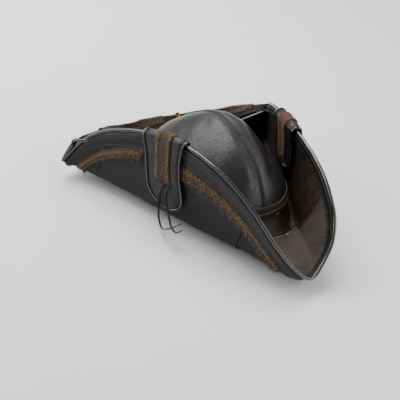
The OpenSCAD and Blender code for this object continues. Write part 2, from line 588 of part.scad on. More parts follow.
// ---- brass eyelets on the turned-over flap ----
function eyelet_s(q) = 12 + (eyelet_side + q * eyelet_pitch / 2) / 79;
module eyelet_place(q) {
  s = eyelet_s(q);
  v = below(s, eyelet_in);
  n = out_of(s, v);
  translate(skin(s, v, -brim_t / 2)) rotate([0, acos(n[2]), atan2(n[1], n[0])]) children();
}
module eyelet() {
  barrel = eyelet_bore / 2 + 0.6;
  h = brim_t / 2 + 0.6;
  rotate_extrude($fn = 48) polygon([
    [eyelet_bore / 2, -h - 0.8], [barrel + 1.4, -h - 0.8], [barrel + 1.4, -h], [barrel, -h], [barrel, h],
    [eyelet_d / 2, h], [eyelet_d / 2 - 0.3, h + 0.7], [eyelet_bore / 2 + 0.6, h + 1.1],
    [eyelet_bore / 2, h + 0.7]]);
}
module back_eyelets() { color("#a87f3c") for (q = [-1, 1]) eyelet_place(q) eyelet(); }

crown_right_panel();
crown_left_panel();
crown_seam_strip();
crown_seam_stitches();
crown_lining();
sweatband();
hat_band_lower();
hat_band_upper();
brim_front_panel();
brim_front_floor();
brim_right_panel();
brim_left_panel();
brim_back_panel();
rim_binding();
rim_wire();
right_border();
left_border();
back_border();
right_front_braid();
right_rear_braid();
left_front_braid();
left_rear_braid();
back_braid();
right_front_zigzag();
right_rear_zigzag();
left_front_zigzag();
left_rear_zigzag();
back_zigzag();
right_tab();
left_tab();
right_tab_piping();
left_tab_piping();
right_tab_braid();
left_tab_braid();
right_tab_zigzags();
left_tab_zigzags();
back_eyelets();
right_lace();
left_lace();
right_front_tail();
right_rear_tail();
left_front_tail();
left_rear_tail();
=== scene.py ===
import math
import bmesh
import bpy
import numpy as np
from mathutils import Matrix


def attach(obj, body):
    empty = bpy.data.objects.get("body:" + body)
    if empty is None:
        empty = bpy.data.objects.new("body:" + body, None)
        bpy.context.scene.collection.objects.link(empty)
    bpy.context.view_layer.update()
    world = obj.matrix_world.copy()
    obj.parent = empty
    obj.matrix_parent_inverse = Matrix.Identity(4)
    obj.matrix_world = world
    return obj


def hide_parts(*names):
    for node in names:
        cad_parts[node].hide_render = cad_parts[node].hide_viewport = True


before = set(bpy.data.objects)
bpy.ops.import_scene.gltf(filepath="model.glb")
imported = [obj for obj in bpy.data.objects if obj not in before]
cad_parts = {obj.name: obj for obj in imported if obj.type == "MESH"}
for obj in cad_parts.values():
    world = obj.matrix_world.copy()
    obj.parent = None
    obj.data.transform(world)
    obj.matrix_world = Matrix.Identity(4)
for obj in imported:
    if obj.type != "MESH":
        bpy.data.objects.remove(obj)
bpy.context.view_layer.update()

MM = 0.001

# ---- camera: the wearer's right front, from above, with the hat leaning over ----
def look_from(azimuth, elevation, roll, distance, lens, shift):
    a, e, r = (math.radians(x) for x in (azimuth, elevation, roll))
    back = np.array([math.sin(a) * math.cos(e), -math.cos(a) * math.cos(e), math.sin(e)])
    level = np.array([math.cos(a), math.sin(a), 0.0])
    up = np.cross(back, level)
    right = math.cos(r) * level + math.sin(r) * up
    top = -math.sin(r) * level + math.cos(r) * up
    data = bpy.data.cameras.new("studio camera")
    cam = bpy.data.objects.new("studio camera", data)
    bpy.context.scene.collection.objects.link(cam)
    data.sensor_width = 36
    data.lens = lens
    data.shift_x, data.shift_y = shift
    data.clip_start = 0.01
    data.clip_end = 50
    m = Matrix.Identity(4)
    for i in range(3):
        m[i][0], m[i][1], m[i][2], m[i][3] = right[i], top[i], back[i], back[i] * distance
    cam.matrix_world = m
    bpy.context.scene.camera = cam
    return right, top, back

RIGHT, TOP, BACK = look_from(-46.114, 32.739, 16.806, 1.2538, 82.4, (-0.0366, -0.0706))

# ---- small maths on arrays; lengths are millimetres until a mesh is made ----
HALF_W, FRONT_L, BACK_L, CROWN_H = 86.0, 109.5, 104.5, 85.0
FOLD_V, FLOOR_V, EDGE_V = 0.55, 0.4, 1.5
BRIM_T, BIND_R, TAB_GAP, TAB_T, TOUCH = 2.6, 2.6, 5.0, 2.4, 0.35
BORDER_W, BRAID_W = 20.0, 14.0

# knots once round the rim, from the front point; the middle of the back is half way
TURN, BACK_S = 24, 12
# angle round the crown, then the fold, the rim and the flap's edge as side, forward, up
KNOTS = [
    [0, [0, 204, -22], [0, 211, -17], [0, 211, -17]],
    [9, [24, 191, -23], [30, 201, 0], [30, 201, 0]],
    [18, [39, 161, -23], [53, 179, 28], [53, 179, 28]],
    [32, [56, 128, -23], [68, 137, 56], [68, 137, 56]],
    [58, [87, 74, -23], [82, 73, 74], [82, 73, 74]],
    [88, [119, 7, -24], [102, 4, 73], [102, 4, 73]],
    [114, [153, -55, -23], [134, -56, 52], [134, -56, 52]],
    [127, [166, -82, -23], [160, -84, 25], [160, -84, 25]],
    [136, [174, -97, -21], [180, -96, -12], [180, -96, -12]],
    [143, [163, -104, -22], [170, -97, 15], [170, -97, 15]],
    [149, [140, -112, -23], [155, -91, 33], [145, -81, 27]],
    [163, [77, -124, -23], [81, -118, 20], [77, -100, -2]],
    [180, [0, -127, -23], [0, -131, 12], [0, -114, -2]],
]


def knot_tables():
    rails, turns = [[], [], []], []
    for i in range(TURN):
        k, side = (i, -1) if i <= BACK_S else (TURN - i, 1)
        row = KNOTS[k]
        for c in range(3):
            x, y, z = row[c + 1]
            rails[c].append([side * x, -y, z])
        turns.append(row[0] if i <= BACK_S else 360 - row[0])
    return [np.array(r, float) for r in rails], np.array(turns, float)


RAILS, TURNS = knot_tables()


def catmull(a, b, c, d, t):
    return 0.5 * (2 * b + (c - a) * t + (2 * a - 5 * b + 4 * c - d) * t ** 2
        + (3 * b - a - 3 * c + d) * t ** 3)


def rail(s, c):
    i = np.floor(s).astype(int)
    t = (s - i)[..., None]
    p = [RAILS[c][(i + k) % TURN] for k in (-1, 0, 1, 2)]
    return catmull(*p, t)


def angle_at(s):
    i = np.floor(s).astype(int)
    p = [TURNS[(i + k) % TURN] + 360.0 * np.floor((i + k) / TURN) for k in (-1, 0, 1, 2)]
    return catmull(*p, s - i)


def ease(t):
    u = np.clip(t, 0, 1)
    return u * u * (3 - 2 * u)


def unit(a):
    return a / np.maximum(np.linalg.norm(a, axis=-1, keepdims=True), 1e-9)


def length(a):
    return np.linalg.norm(a, axis=-1)


def column(m):
    return m[..., None]


def power(a, p):
    return np.sign(a) * np.abs(a) ** (2 / p)


def crown(angle, z, o=0.0):
    angle, z, o = np.broadcast_arrays(np.asarray(angle, float), np.asarray(z, float), np.asarray(o, float))
    t = np.clip(z / CROWN_H, 0, 1)
    f = np.maximum(0, 1 - t ** 1.6) ** (1 / 1.6)
    a = np.radians(angle)
    c, s = np.cos(a), np.sin(a)
    f = f * (1 - 0.14 * np.maximum(0, np.cos(a - np.radians(308))) ** 4 * ease((z - 26) / 25))
    reach = np.where(c > 0, FRONT_L, BACK_L) + o
    return np.stack([-(HALF_W + o) * f * power(s, 2.3), -reach * f * power(c, 2.3), z + o * t], -1)


def flap(s):
    return ease((3 - np.abs(np.mod(s, TURN) - BACK_S)) / 1.5)


def section(s):
    e = crown(angle_at(s), 0, 0.3)
    k, r, f = rail(s, 0), rail(s, 1), rail(s, 2)
    in_r = np.minimum(0.35 * length(k - e), 17)[..., None]
    up_r = np.minimum(0.45 * length(r - k), 17)[..., None]
    a, b = k + unit(e - k) * in_r, k + unit(r - k) * up_r
    roll = 8 * flap(s)[..., None]
    w = length(f - r)[..., None]
    c = r + unit(b - r) * roll
    d = r + np.where(w > 1e-6, (f - r) / np.maximum(w, 1e-6) * np.minimum(roll, 0.45 * w), 0)
    return e, k, r, f, a, b, c, d


def bend(a, k, b, t):
    return (1 - t) ** 2 * a + 2 * t * (1 - t) * k + t * t * b


def sec(s, v):
    s, v = np.broadcast_arrays(np.asarray(s, float), np.asarray(v, float))
    e, k, r, f, a, b, c, d = section(s)
    w = 0.1 * flap(s)
    v1, v2 = 1 - w, 1 + w
    out = k - e
    out = unit(np.stack([out[..., 0], out[..., 1], np.zeros_like(s)], -1))
    t1 = (v / FLOOR_V)[..., None]
    floor = e + (a - e) * t1 - np.array([0, 0, 7.0]) * np.sin(np.pi * t1)
    fold = bend(a, k, b, ((v - FLOOR_V) / (FOLD_V - FLOOR_V))[..., None])
    t3 = ((v - FOLD_V) / (v1 - FOLD_V))[..., None]
    bulge = np.sin(np.pi * np.minimum(1, t3)) * np.minimum(3, length(c - b)[..., None] * 0.04)
    wall = b + (c - b) * t3 + out * bulge
    over = bend(c, r, d, ((v - v1) / np.maximum(v2 - v1, 1e-6))[..., None])
    turned = d + (f - d) * ((v - v2) / (EDGE_V - v2))[..., None]
    return np.where(column(v < FLOOR_V), floor, np.where(column(v < FOLD_V), fold, np.where(
        column((v < v1) | (w == 0)), wall, np.where(column(v < v2), over, turned))))


def edge_of(s):
    return np.where(flap(s) > 0, EDGE_V, 1.0)


def out_of(s, v):
    s, v = np.broadcast_arrays(np.asarray(s, float), np.asarray(v, float))
    h, top = 0.02, edge_of(s)
    a = sec(s + h, v) - sec(s - h, v)
    b = sec(s, np.minimum(v + h, top)) - sec(s, np.maximum(v - h, 0))
    return unit(np.cross(b, a))


def waves(p, size, seed, n=6):
    """Soft lumps about size mm across, from -1 to 1, the same in every piece that lies on the surface."""
    rng = np.random.RandomState(seed)
    total = 0
    for _ in range(n):
        d = unit(rng.normal(size=3))
        total = total + np.sin(p @ d * (2 * np.pi / (size * rng.uniform(0.7, 1.5))) + rng.uniform(0, 6.28))
    return total / n ** 0.5 / 1.4


def dent(p):
    return 0.8 * waves(p, 85, 3) + 0.35 * waves(p, 34, 5)


def skin(s, v, o=0.0):
    p, n = sec(s, v), out_of(s, v)
    o = np.asarray(o, float)
    return p + (o + dent(p))[..., None] * n


def lengths(s):
    e, k, r, f, a, b, c, d = section(s)
    on = (flap(s) > 0) * 1.0
    return (on * length(f - d), on * 1.1 * length(c - d), length(c - b), 1.1 * length(a - b), length(a - e))


def below(s, d):
    s, d = np.broadcast_arrays(np.asarray(s, float), np.asarray(d, float))
    w = 0.1 * flap(s)
    v1, v2 = 1 - w, 1 + w
    l1, l2, l3, l4, l5 = (np.maximum(x, 1e-6) for x in lengths(s))
    flapless = flap(s) == 0
    l1, l2 = np.where(flapless, 0, l1), np.where(flapless, 0, l2)
    safe1, safe2 = np.maximum(l1, 1e-6), np.maximum(l2, 1e-6)
    return np.where(d < l1, EDGE_V - (EDGE_V - v2) * d / safe1, np.where(
        d < l1 + l2, v2 - (v2 - v1) * (d - l1) / safe2, np.where(
            d < l1 + l2 + l3, v1 - (v1 - FOLD_V) * (d - l1 - l2) / l3, np.where(
                d < l1 + l2 + l3 + l4, FOLD_V - (FOLD_V - FLOOR_V) * (d - l1 - l2 - l3) / l4,
                FLOOR_V - FLOOR_V * (d - l1 - l2 - l3 - l4) / l5))))


def mirrored(s, side):
    return s if side < 0 else TURN - s


def edge_way(s):
    """Way the binding stands off the edge: up along the wall, then over and down as the flap turns."""
    v = edge_of(s)
    d = unit(sec(s, v) - sec(s, v - 0.02))
    t = ease((3 - np.abs(np.mod(s, TURN) - BACK_S)) / 1.2)[..., None]
    w = unit(rail(s, 1) - section(s)[5])
    turning = unit((1 - t) * w + t * d - 3 * t * (1 - t) * out_of(s, np.full_like(s, 0.8)))
    return np.where((t > 0) & (t < 1), turning, d)


def rim_frame(s):
    s = np.asarray(s, float)
    v = edge_of(s)
    d = edge_way(s)
    a = unit(sec(s + 0.02, edge_of(s + 0.02)) - sec(s - 0.02, edge_of(s - 0.02)))
    e = unit(d - a * (a * d).sum(-1, keepdims=True))
    return skin(s, v, -BRIM_T / 2) + e * (BIND_R + TOUCH), np.cross(a, e), e


# ---- meshes ----
def put(name, verts, faces, uv=None, mats=(), picks=None, body="hat", nodes=(), sharp=40, fields=None):
    me = bpy.data.meshes.new(name)
    me.from_pydata([tuple(p) for p in np.asarray(verts) * MM], [], faces)
    if uv is not None:
        layer = me.uv_layers.new(name="UVMap")
        flat = np.asarray(uv)[[l.vertex_index for l in me.loops]] * MM
        layer.data.foreach_set("uv", flat.astype(np.float32).ravel())
    for key, values in (fields or {}).items():
        at = me.attributes.new(key, "FLOAT", "POINT")
        at.data.foreach_set("value", np.asarray(values, np.float32))
    for m in mats:
        me.materials.append(m)
    if picks is not None:
        me.polygons.foreach_set("material_index", picks)
    bm = bmesh.new()
    bm.from_mesh(me)
    bmesh.ops.remove_doubles(bm, verts=bm.verts, dist=2e-6)
    bmesh.ops.recalc_face_normals(bm, faces=bm.faces)
    bm.to_mesh(me)
    bm.free()
    me.shade_smooth()
    me.set_sharp_from_angle(angle=math.radians(sharp))
    obj = bpy.data.objects.new(name, me)
    bpy.context.scene.collection.objects.link(obj)
    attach(obj, body)
    if nodes:
        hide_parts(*nodes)
    return obj


def loft(name, grid, around=False, wear_and_sheen=None, first_rows=0, **kw):
    """A skin over rows of a closed outline; around joins last row to first, else the ends are capped."""
    grid = np.asarray(grid, float)
    n, m, _ = grid.shape
    along = np.concatenate([[0], np.cumsum(length(np.diff(grid, axis=0)).mean(1))])
    across = np.concatenate([[0], np.cumsum(length(np.diff(grid, axis=1)).mean(0))])
    uv = np.stack(np.meshgrid(along, across, indexing="ij"), -1).reshape(-1, 2)
    i, j = np.meshgrid(np.arange(n if around else n - 1), np.arange(m), indexing="ij")
    i2, j2 = (i + 1) % n, (j + 1) % m
    faces = np.stack([i * m + j, i2 * m + j, i2 * m + j2, i * m + j2], -1).reshape(-1, 4).tolist()
    if first_rows:
        kw["picks"] = np.concatenate([(j.ravel() >= first_rows) * 1, np.zeros(0 if around else 2, int)])
    if not around:
        faces += [list(range(m)), [(n - 1) * m + k for k in reversed(range(m))]]
    fields = {"wear_and_sheen": np.asarray(wear_and_sheen).ravel()} if wear_and_sheen is not None else None
    return put(name, grid.reshape(-1, 3), faces, uv=uv, fields=fields, **kw)


def ring_frames(path, up):
    t = unit(np.gradient(path, axis=0))
    u = unit(np.cross(t, up))
    return u, unit(np.cross(u, t))


def tube_grid(path, up, wide, thick, sides=10, twist=None):
    """Rows of an oval outline along a path; wide lies across up."""
    path = np.asarray(path, float)
    u, n = ring_frames(path, up)
    wide, thick = np.broadcast_to(wide, len(path)), np.broadcast_to(thick, len(path))
    a = np.linspace(0, 2 * np.pi, sides, endpoint=False)
    turn = np.zeros(len(path)) if twist is None else twist
    ca, sa = np.cos(a)[None, :] * wide[:, None] / 2, np.sin(a)[None, :] * thick[:, None] / 2
    c, s = np.cos(turn)[:, None], np.sin(turn)[:, None]
    x, y = ca * c - sa * s, ca * s + sa * c
    return path[:, None, :] + x[..., None] * u[:, None, :] + y[..., None] * n[:, None, :]


def joined(name, grids, **kw):
    """Several capped tubes as one mesh."""
    verts, faces, uv, base = [], [], [], 0
    for g in grids:
        n, m, _ = g.shape
        i, j = np.meshgrid(np.arange(n - 1), np.arange(m), indexing="ij")
        j2 = (j + 1) % m
        quads = np.stack([i * m + j, (i + 1) * m + j, (i + 1) * m + j2, i * m + j2], -1).reshape(-1, 4)
        faces += (quads + base).tolist()
        faces += [[base + k for k in range(m)], [base + (n - 1) * m + k for k in reversed(range(m))]]
        along = np.concatenate([[0], np.cumsum(length(np.diff(g[:, 0], axis=0)))])
        uv.append(np.stack(np.meshgrid(along, np.arange(m) * 0.5, indexing="ij"), -1).reshape(-1, 2))
        verts.append(g.reshape(-1, 3))
        base += n * m
    return put(name, np.concatenate(verts), faces, uv=np.concatenate(uv), **kw)


# ---- materials ----
def lin(code):
    c = [int(code[i:i + 2], 16) / 255 for i in (1, 3, 5)]
    return [x / 12.92 if x <= 0.04045 else ((x + 0.055) / 1.055) ** 2.4 for x in c] + [1.0]


def add(tree, kind, ins=None, **props):
    n = tree.nodes.new(kind)
    for k, v in props.items():
        setattr(n, k, v)
    for k, v in (ins or {}).items():
        if isinstance(v, bpy.types.NodeSocket):
            tree.links.new(v, n.inputs[k])
        else:
            n.inputs[k].default_value = v
    return n


def start(name):
    mat = bpy.data.materials.new(name)
    mat.use_nodes = True
    t = mat.node_tree
    t.nodes.clear()
    shader = add(t, "ShaderNodeBsdfPrincipled")
    add(t, "ShaderNodeOutputMaterial", {"Surface": shader.outputs[0]})
    where = add(t, "ShaderNodeTexCoord")
    return mat, t, shader, where


def mix(t, f, a, b, kind="MIX"):
    return add(t, "ShaderNodeMix", {0: f, 6: a, 7: b}, data_type="RGBA", blend_type=kind).outputs[2]


def maths(t, op, a, b=0.0, clamp=False):
    return add(t, "ShaderNodeMath", {0: a, 1: b}, operation=op, use_clamp=clamp).outputs[0]


def noise(t, co, size_mm, detail=3, rough=0.5, warp=0.0):
    return add(t, "ShaderNodeTexNoise", {"Vector": co, "Scale": 1 / (size_mm * MM), "Detail": detail,
        "Roughness": rough, "Distortion": warp}).outputs[0]


def span(t, x, a, b, c, d):
    return add(t, "ShaderNodeMapRange", {0: x, 1: a, 2: b, 3: c, 4: d}).outputs[0]


def stretch(t, co, scale):
    return add(t, "ShaderNodeMapping", {"Vector": co, "Scale": scale}).outputs[0]


def leather(name, base, dark, worn_and_sheen, rough=(0.34, 0.55), grain=1.3, depth=0.35, crease=0.5, wear_and_sheen=0.8,
        coat=0.0, level=0.28):
    mat, t, shader, where = start(name)
    co = where.outputs["Object"]
    patch = noise(t, co, 38, 5, 0.6)
    fine = noise(t, co, 4, 4, 0.6)
    tone = span(t, patch, 0.35, 0.66, 0, 1)
    colour = mix(t, tone, lin(dark), lin(base))
    # The attribute read here lightens towards the rubbed colour: real rubbing, and on the crown also a
    # painted sheen over the top of the dome and a painted highlight on the seam ridges.
    edge = add(t, "ShaderNodeAttribute", attribute_name="wear_and_sheen").outputs["Fac"]
    rub_and_sheen = maths(t, "MULTIPLY", edge, span(t, fine, 0.36, 0.6, 0, wear_and_sheen), True)
    colour = mix(t, rub_and_sheen, colour, lin(worn_and_sheen))
    speck = span(t, noise(t, co, 1.1, 2), 0.62, 0.74, 0, 0.35)
    colour = mix(t, speck, colour, lin(worn_and_sheen))
    cells = add(t, "ShaderNodeTexVoronoi", {"Vector": co, "Scale": 1 / (grain * MM)},
        feature="DISTANCE_TO_EDGE").outputs["Distance"]
    pebble = span(t, cells, 0.0, 0.22, 0, 1)
    lines = noise(t, co, 17, 4, 0.55, 0.8)
    fold = maths(t, "ABSOLUTE", maths(t, "SUBTRACT", lines, 0.5))
    fold = span(t, fold, 0.0, 0.05, 0, 1)
    b1 = add(t, "ShaderNodeBump", {"Height": pebble, "Strength": depth, "Distance": 0.18 * MM})
    b2 = add(t, "ShaderNodeBump",
        {"Height": fold, "Strength": crease, "Distance": 0.5 * MM, "Normal": b1.outputs[0]})
    b3 = add(t, "ShaderNodeBump",
        {"Height": patch, "Strength": 0.6, "Distance": 2.2 * MM, "Normal": b2.outputs[0]})
    t.links.new(b3.outputs[0], shader.inputs["Normal"])
    t.links.new(colour, shader.inputs["Base Color"])
    gloss = span(t, maths(t, "ADD", maths(t, "MULTIPLY", fine, 0.5), maths(t, "MULTIPLY", patch, 0.5)),
        0.35, 0.65, rough[0], rough[1])
    t.links.new(gloss, shader.inputs["Roughness"])
    shader.inputs["Specular IOR Level"].default_value = level
    shader.inputs["Coat Weight"].default_value = coat
    shader.inputs["Coat Roughness"].default_value = 0.14
    return mat


# Worn charcoal hide: a painted grey sheen over the top of the dome, given in the lighter rubbed colour,
# which also marks where it is rubbed
CROWN = leather("charcoal crown leather", "#242426", "#161618", "#4a4845", (0.28, 0.42), 1.5, 0.35, 0.25,
    level=0.38)
# Black hide of the brim: darker and smoother, creased where it folds
BRIM = leather("black brim leather", "#121214", "#0b0b0d", "#2f2c2a", (0.38, 0.56), 1.4, 0.35, 0.4)
# Polished roll: its tight highlight draws the outline of the brim
ROLL = leather("polished black binding", "#0d0d0f", "#070708", "#262422", (0.18, 0.28), 1.1, 0.1, 0.15, 0.3,
    0.8, 0.5)
# Plain strip: slightly duller than the roll, so that the stitches stand out
STRIP = leather("black border leather", "#151416", "#0d0d0e", "#302d2a", (0.34, 0.5), 1.2, 0.35, 0.35)
# Floor of the front inside the arc seam, and the inside of the sides: dark brown and less brushed
INNER = leather("dark brown floor leather", "#261c17", "#17110e", "#46372c", (0.42, 0.6), 1.3, 0.35, 0.5)
# Soft strap: brownish black, scuffed along its edges
STRAP = leather("soft strap leather", "#151414", "#0c0b0b", "#35322f", (0.28, 0.42), 1.2, 0.4, 0.5,
    level=0.4)
# Dull mauve-brown thong of the hat band
BAND = leather("mauve-brown band leather", "#382b28", "#251c1a", "#564741", (0.42, 0.62), 0.9, 0.35, 0.7)
# Smooth hide inside the hat, darkened where it meets the head
SWEAT = leather("dark sweatband leather", "#211a17", "#150f0d", "#362c26", (0.4, 0.6), 0.8, 0.25, 0.3)
# Thin thong: dark brown with pale cut edges
THONG = leather("dark brown thong", "#2d2221", "#1c1514", "#54433e", (0.36, 0.55), 0.8, 0.35, 0.6)


def worn_hide():
    """Brushed hide on the inside of the front: brown, streaked and napped like cloth."""
    mat, t, shader, where = start("brushed brown front leather")
    co = where.outputs["Object"]
    uv = where.outputs["UV"]
    cloud = noise(t, co, 30, 6, 0.65, 0.4)
    streak = noise(t, stretch(t, uv, (1.0, 0.22, 1.0)), 3.2, 5, 0.65)
    nap = noise(t, co, 0.9, 3, 0.6)
    colour = mix(t, span(t, cloud, 0.38, 0.62, 0, 1), lin("#17110e"), lin("#33261d"))
    colour = mix(t, span(t, streak, 0.5, 0.68, 0, 0.75), colour, lin("#4a3728"))
    colour = mix(t, span(t, nap, 0.55, 0.72, 0, 0.5), colour, lin("#5c4736"))
    colour = mix(t, span(t, noise(t, co, 12, 4), 0.58, 0.7, 0, 0.8), colour, lin("#120e0c"))
    t.links.new(colour, shader.inputs["Base Color"])
    b1 = add(t, "ShaderNodeBump", {"Height": nap, "Strength": 0.6, "Distance": 0.5 * MM})
    b2 = add(t, "ShaderNodeBump",
        {"Height": streak, "Strength": 0.5, "Distance": 0.8 * MM, "Normal": b1.outputs[0]})
    t.links.new(b2.outputs[0], shader.inputs["Normal"])
    t.links.new(span(t, cloud, 0.3, 0.7, 0.55, 0.8), shader.inputs["Roughness"])
    shader.inputs["Specular IOR Level"].default_value = 0.35
    shader.inputs["Sheen Weight"].default_value = 0.25
    shader.inputs["Sheen Roughness"].default_value = 0.5
    return mat


WORN = worn_hide()


def yarn(name, base, dark, light, ply_mm=0.9, rough=0.8, sheen=0.3, metal=0.0):
    """Twisted yarn: slanting plies along the strand, with painted shade in the grooves between them, and
    fuzz that catches the light.
    """
    mat, t, shader, where = start(name)
    co, uv = where.outputs["Object"], where.outputs["UV"]
    ply = add(t, "ShaderNodeTexWave", {"Vector": uv, "Scale": 0.159 / (ply_mm * MM) * 2, "Distortion": 1.5,
        "Detail": 2, "Detail Scale": 2}, bands_direction="DIAGONAL").outputs["Fac"]
    tuft = noise(t, co, 5, 5, 0.7)
    fuzz = noise(t, co, 0.5, 3, 0.7)
    colour = mix(t, span(t, tuft, 0.36, 0.62, 0, 1), lin(dark), lin(base))
    colour = mix(t, span(t, noise(t, co, 1.7, 4, 0.6), 0.52, 0.68, 0, 0.85), colour, lin(light))
    # Painted shade: the grooves between the plies are darkened towards the dark colour.
    colour = mix(t, span(t, ply, 0.0, 0.45, 0.55, 0), colour, lin(dark))
    t.links.new(colour, shader.inputs["Base Color"])
    b1 = add(t, "ShaderNodeBump", {"Height": ply, "Strength": 0.7, "Distance": 0.3 * MM})
    b2 = add(t, "ShaderNodeBump",
        {"Height": fuzz, "Strength": 0.6, "Distance": 0.3 * MM, "Normal": b1.outputs[0]})
    t.links.new(b2.outputs[0], shader.inputs["Normal"])
    shader.inputs["Roughness"].default_value = rough
    shader.inputs["Sheen Weight"].default_value = sheen
    shader.inputs["Metallic"].default_value = metal
    return mat


# Coarse woven braid of brown cotton
BRAID = yarn("brown braid yarn", "#422d1a", "#140d08", "#6d4e2f", sheen=0.1)
# The same braid, redder
REDDISH = yarn("reddish braid yarn", "#5a301b", "#200f08", "#86502f", sheen=0.1)
# Combed-out ends of the braid: paler and dustier than the braid itself
FRAYED = yarn("frayed tan yarn", "#6d5844", "#2b1f17", "#8f7458", 0.7, sheen=0.15)
# Dull gold thread that catches the light on its plies
GOLD = yarn("dull gold thread", "#977238", "#4c371a", "#c4a05c", 0.6, 0.45, 0.1, 0.25)
# Olive-gold thread that runs beside it
OLIVE = yarn("olive thread", "#5a4f2a", "#2b2512", "#7d7241", 0.6, 0.6, 0.1)
# Waxed stitching thread
WAXED = yarn("waxed grey thread", "#4b4844", "#242220", "#6d6862", 0.5, 0.5, 0.15)
# Dark stitching along the borders
DARK = yarn("black waxed thread", "#2b2726", "#131111", "#4d4744", 0.5, 0.45, 0.15)


def cloth():
    """Plain woven lining: fine crossing threads, matte, with a painted highlight where the threads rise."""
    mat, t, shader, where = start("black lining cloth")
    uv = where.outputs["UV"]
    thread = 0.7 * MM
    close = {"Vector": uv, "Scale": 0.159 / thread * 2}
    warp = add(t, "ShaderNodeTexWave", close, bands_direction="X").outputs["Fac"]
    weft = add(t, "ShaderNodeTexWave", close, bands_direction="Y").outputs["Fac"]
    weave = maths(t, "MULTIPLY", warp, weft)
    soiled = span(t, noise(t, where.outputs["Object"], 9, 4), 0.4, 0.6, 0, 1)
    colour = mix(t, soiled, lin("#181717"), lin("#272524"))
    # Painted highlight: the raised points of the weave are tinted lighter.
    colour = mix(t, maths(t, "MULTIPLY", weave, 0.4), colour, lin("#3a3735"))
    t.links.new(colour, shader.inputs["Base Color"])
    b = add(t, "ShaderNodeBump", {"Height": weave, "Strength": 0.7, "Distance": 0.2 * MM})
    t.links.new(b.outputs[0], shader.inputs["Normal"])
    shader.inputs["Roughness"].default_value = 0.85
    shader.inputs["Sheen Weight"].default_value = 0.2
    return mat


LINING = cloth()


def metal(name, base, dark, rough):
    """Tarnished metal: brown in the hollows, rubbed bright on top."""
    mat, t, shader, where = start(name)
    co = where.outputs["Object"]
    spots = span(t, noise(t, co, 2.2, 5, 0.7), 0.4, 0.62, 0, 1)
    t.links.new(mix(t, spots, lin(dark), lin(base)), shader.inputs["Base Color"])
    t.links.new(span(t, spots, 0, 1, rough[1], rough[0]), shader.inputs["Roughness"])
    b = add(t, "ShaderNodeBump", {"Height": noise(t, co, 0.8, 3), "Strength": 0.3, "Distance": 0.1 * MM})
    t.links.new(b.outputs[0], shader.inputs["Normal"])
    shader.inputs["Metallic"].default_value = 1.0
    return mat


# Eyelets: warm tarnished brass rings
BRASS = metal("tarnished brass", "#b08a48", "#5c431f", (0.25, 0.5))
# Wire core of the rim, seen by nobody
STEEL = metal("drawn steel wire", "#9a9a9c", "#6c6c6e", (0.3, 0.5))

for piece, finish in (("back_eyelets", BRASS), ("rim_wire", STEEL)):
    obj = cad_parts[piece]
    obj.data.materials.clear()
    obj.data.materials.append(finish)

# ---- laces: the two hanging tails of each side, then the stretch through the holes ----
REAR_TAIL = [[-115, -31.5, 23], [-117, -32, 18], [-117, -32, 10], [-116, -34, 0], [-116, -36, -10],
    [-116, -40, -19], [-117, -46, -24], [-119, -54, -25], [-121, -61, -21], [-122, -69, -14],
    [-120, -77, -5], [-118, -84, 4]]
FRONT_TAIL = [[-112.5, -38, 23], [-115.5, -41, 19], [-117, -46, 12], [-116, -51, 3], [-115, -58, -7],
    [-115, -65, -15], [-115, -74, -17], [-117, -82, -11], [-118, -88, -3]]
LACE_D, LACE_PITCH, LACE_DROP, LACE_AHEAD = 3.4, 7.0, 54.0, 5.0
# The left tab sits this far ahead of the right one; a knot there is this long
TAB_AHEAD, KNOT_L = 14, 77.0


def smooth(points, n):
    p = np.asarray(points, float)
    p = np.concatenate([p[:1], p, p[-1:]])
    rows = [catmull(p[i], p[i + 1], p[i + 2], p[i + 3], k / n) for i in range(len(p) - 3) for k in range(n)]
    return np.array(rows + [p[-1]])


def sided(route, side):
    shift = np.array([-0.35, -0.92, 0]) * TAB_AHEAD if side > 0 else np.zeros(3)
    return [np.array([x * -side, y, z]) + shift for x, y, z in route]


def tail(name, route, side):
    path = smooth(sided(route, side), 8)
    n = len(path)
    t = np.linspace(0, 1, n)
    wide = LACE_D * (1.36 - 0.36 * t - 0.1 * np.sin(t * 23) ** 2)
    thick = LACE_D * (0.5 + 0.08 * np.sin(t * 17))
    grid = tube_grid(path, np.array([1.0, 0, 0.1]), wide, thick, 12, 0.9 * np.sin(t * 3.1) + 1.2)
    piece = loft(name, grid, mats=[THONG], body="right_tails" if side < 0 else "left_tails",
        nodes=[name], wear_and_sheen=np.full(grid.shape[:2], 0.6), sharp=60)
    # a flat thong goes by its width
    return path


for side, word in ((-1, "right"), (1, "left")):
    tail(word + "_rear_tail", REAR_TAIL, side)
    tail(word + "_front_tail", FRONT_TAIL, side)


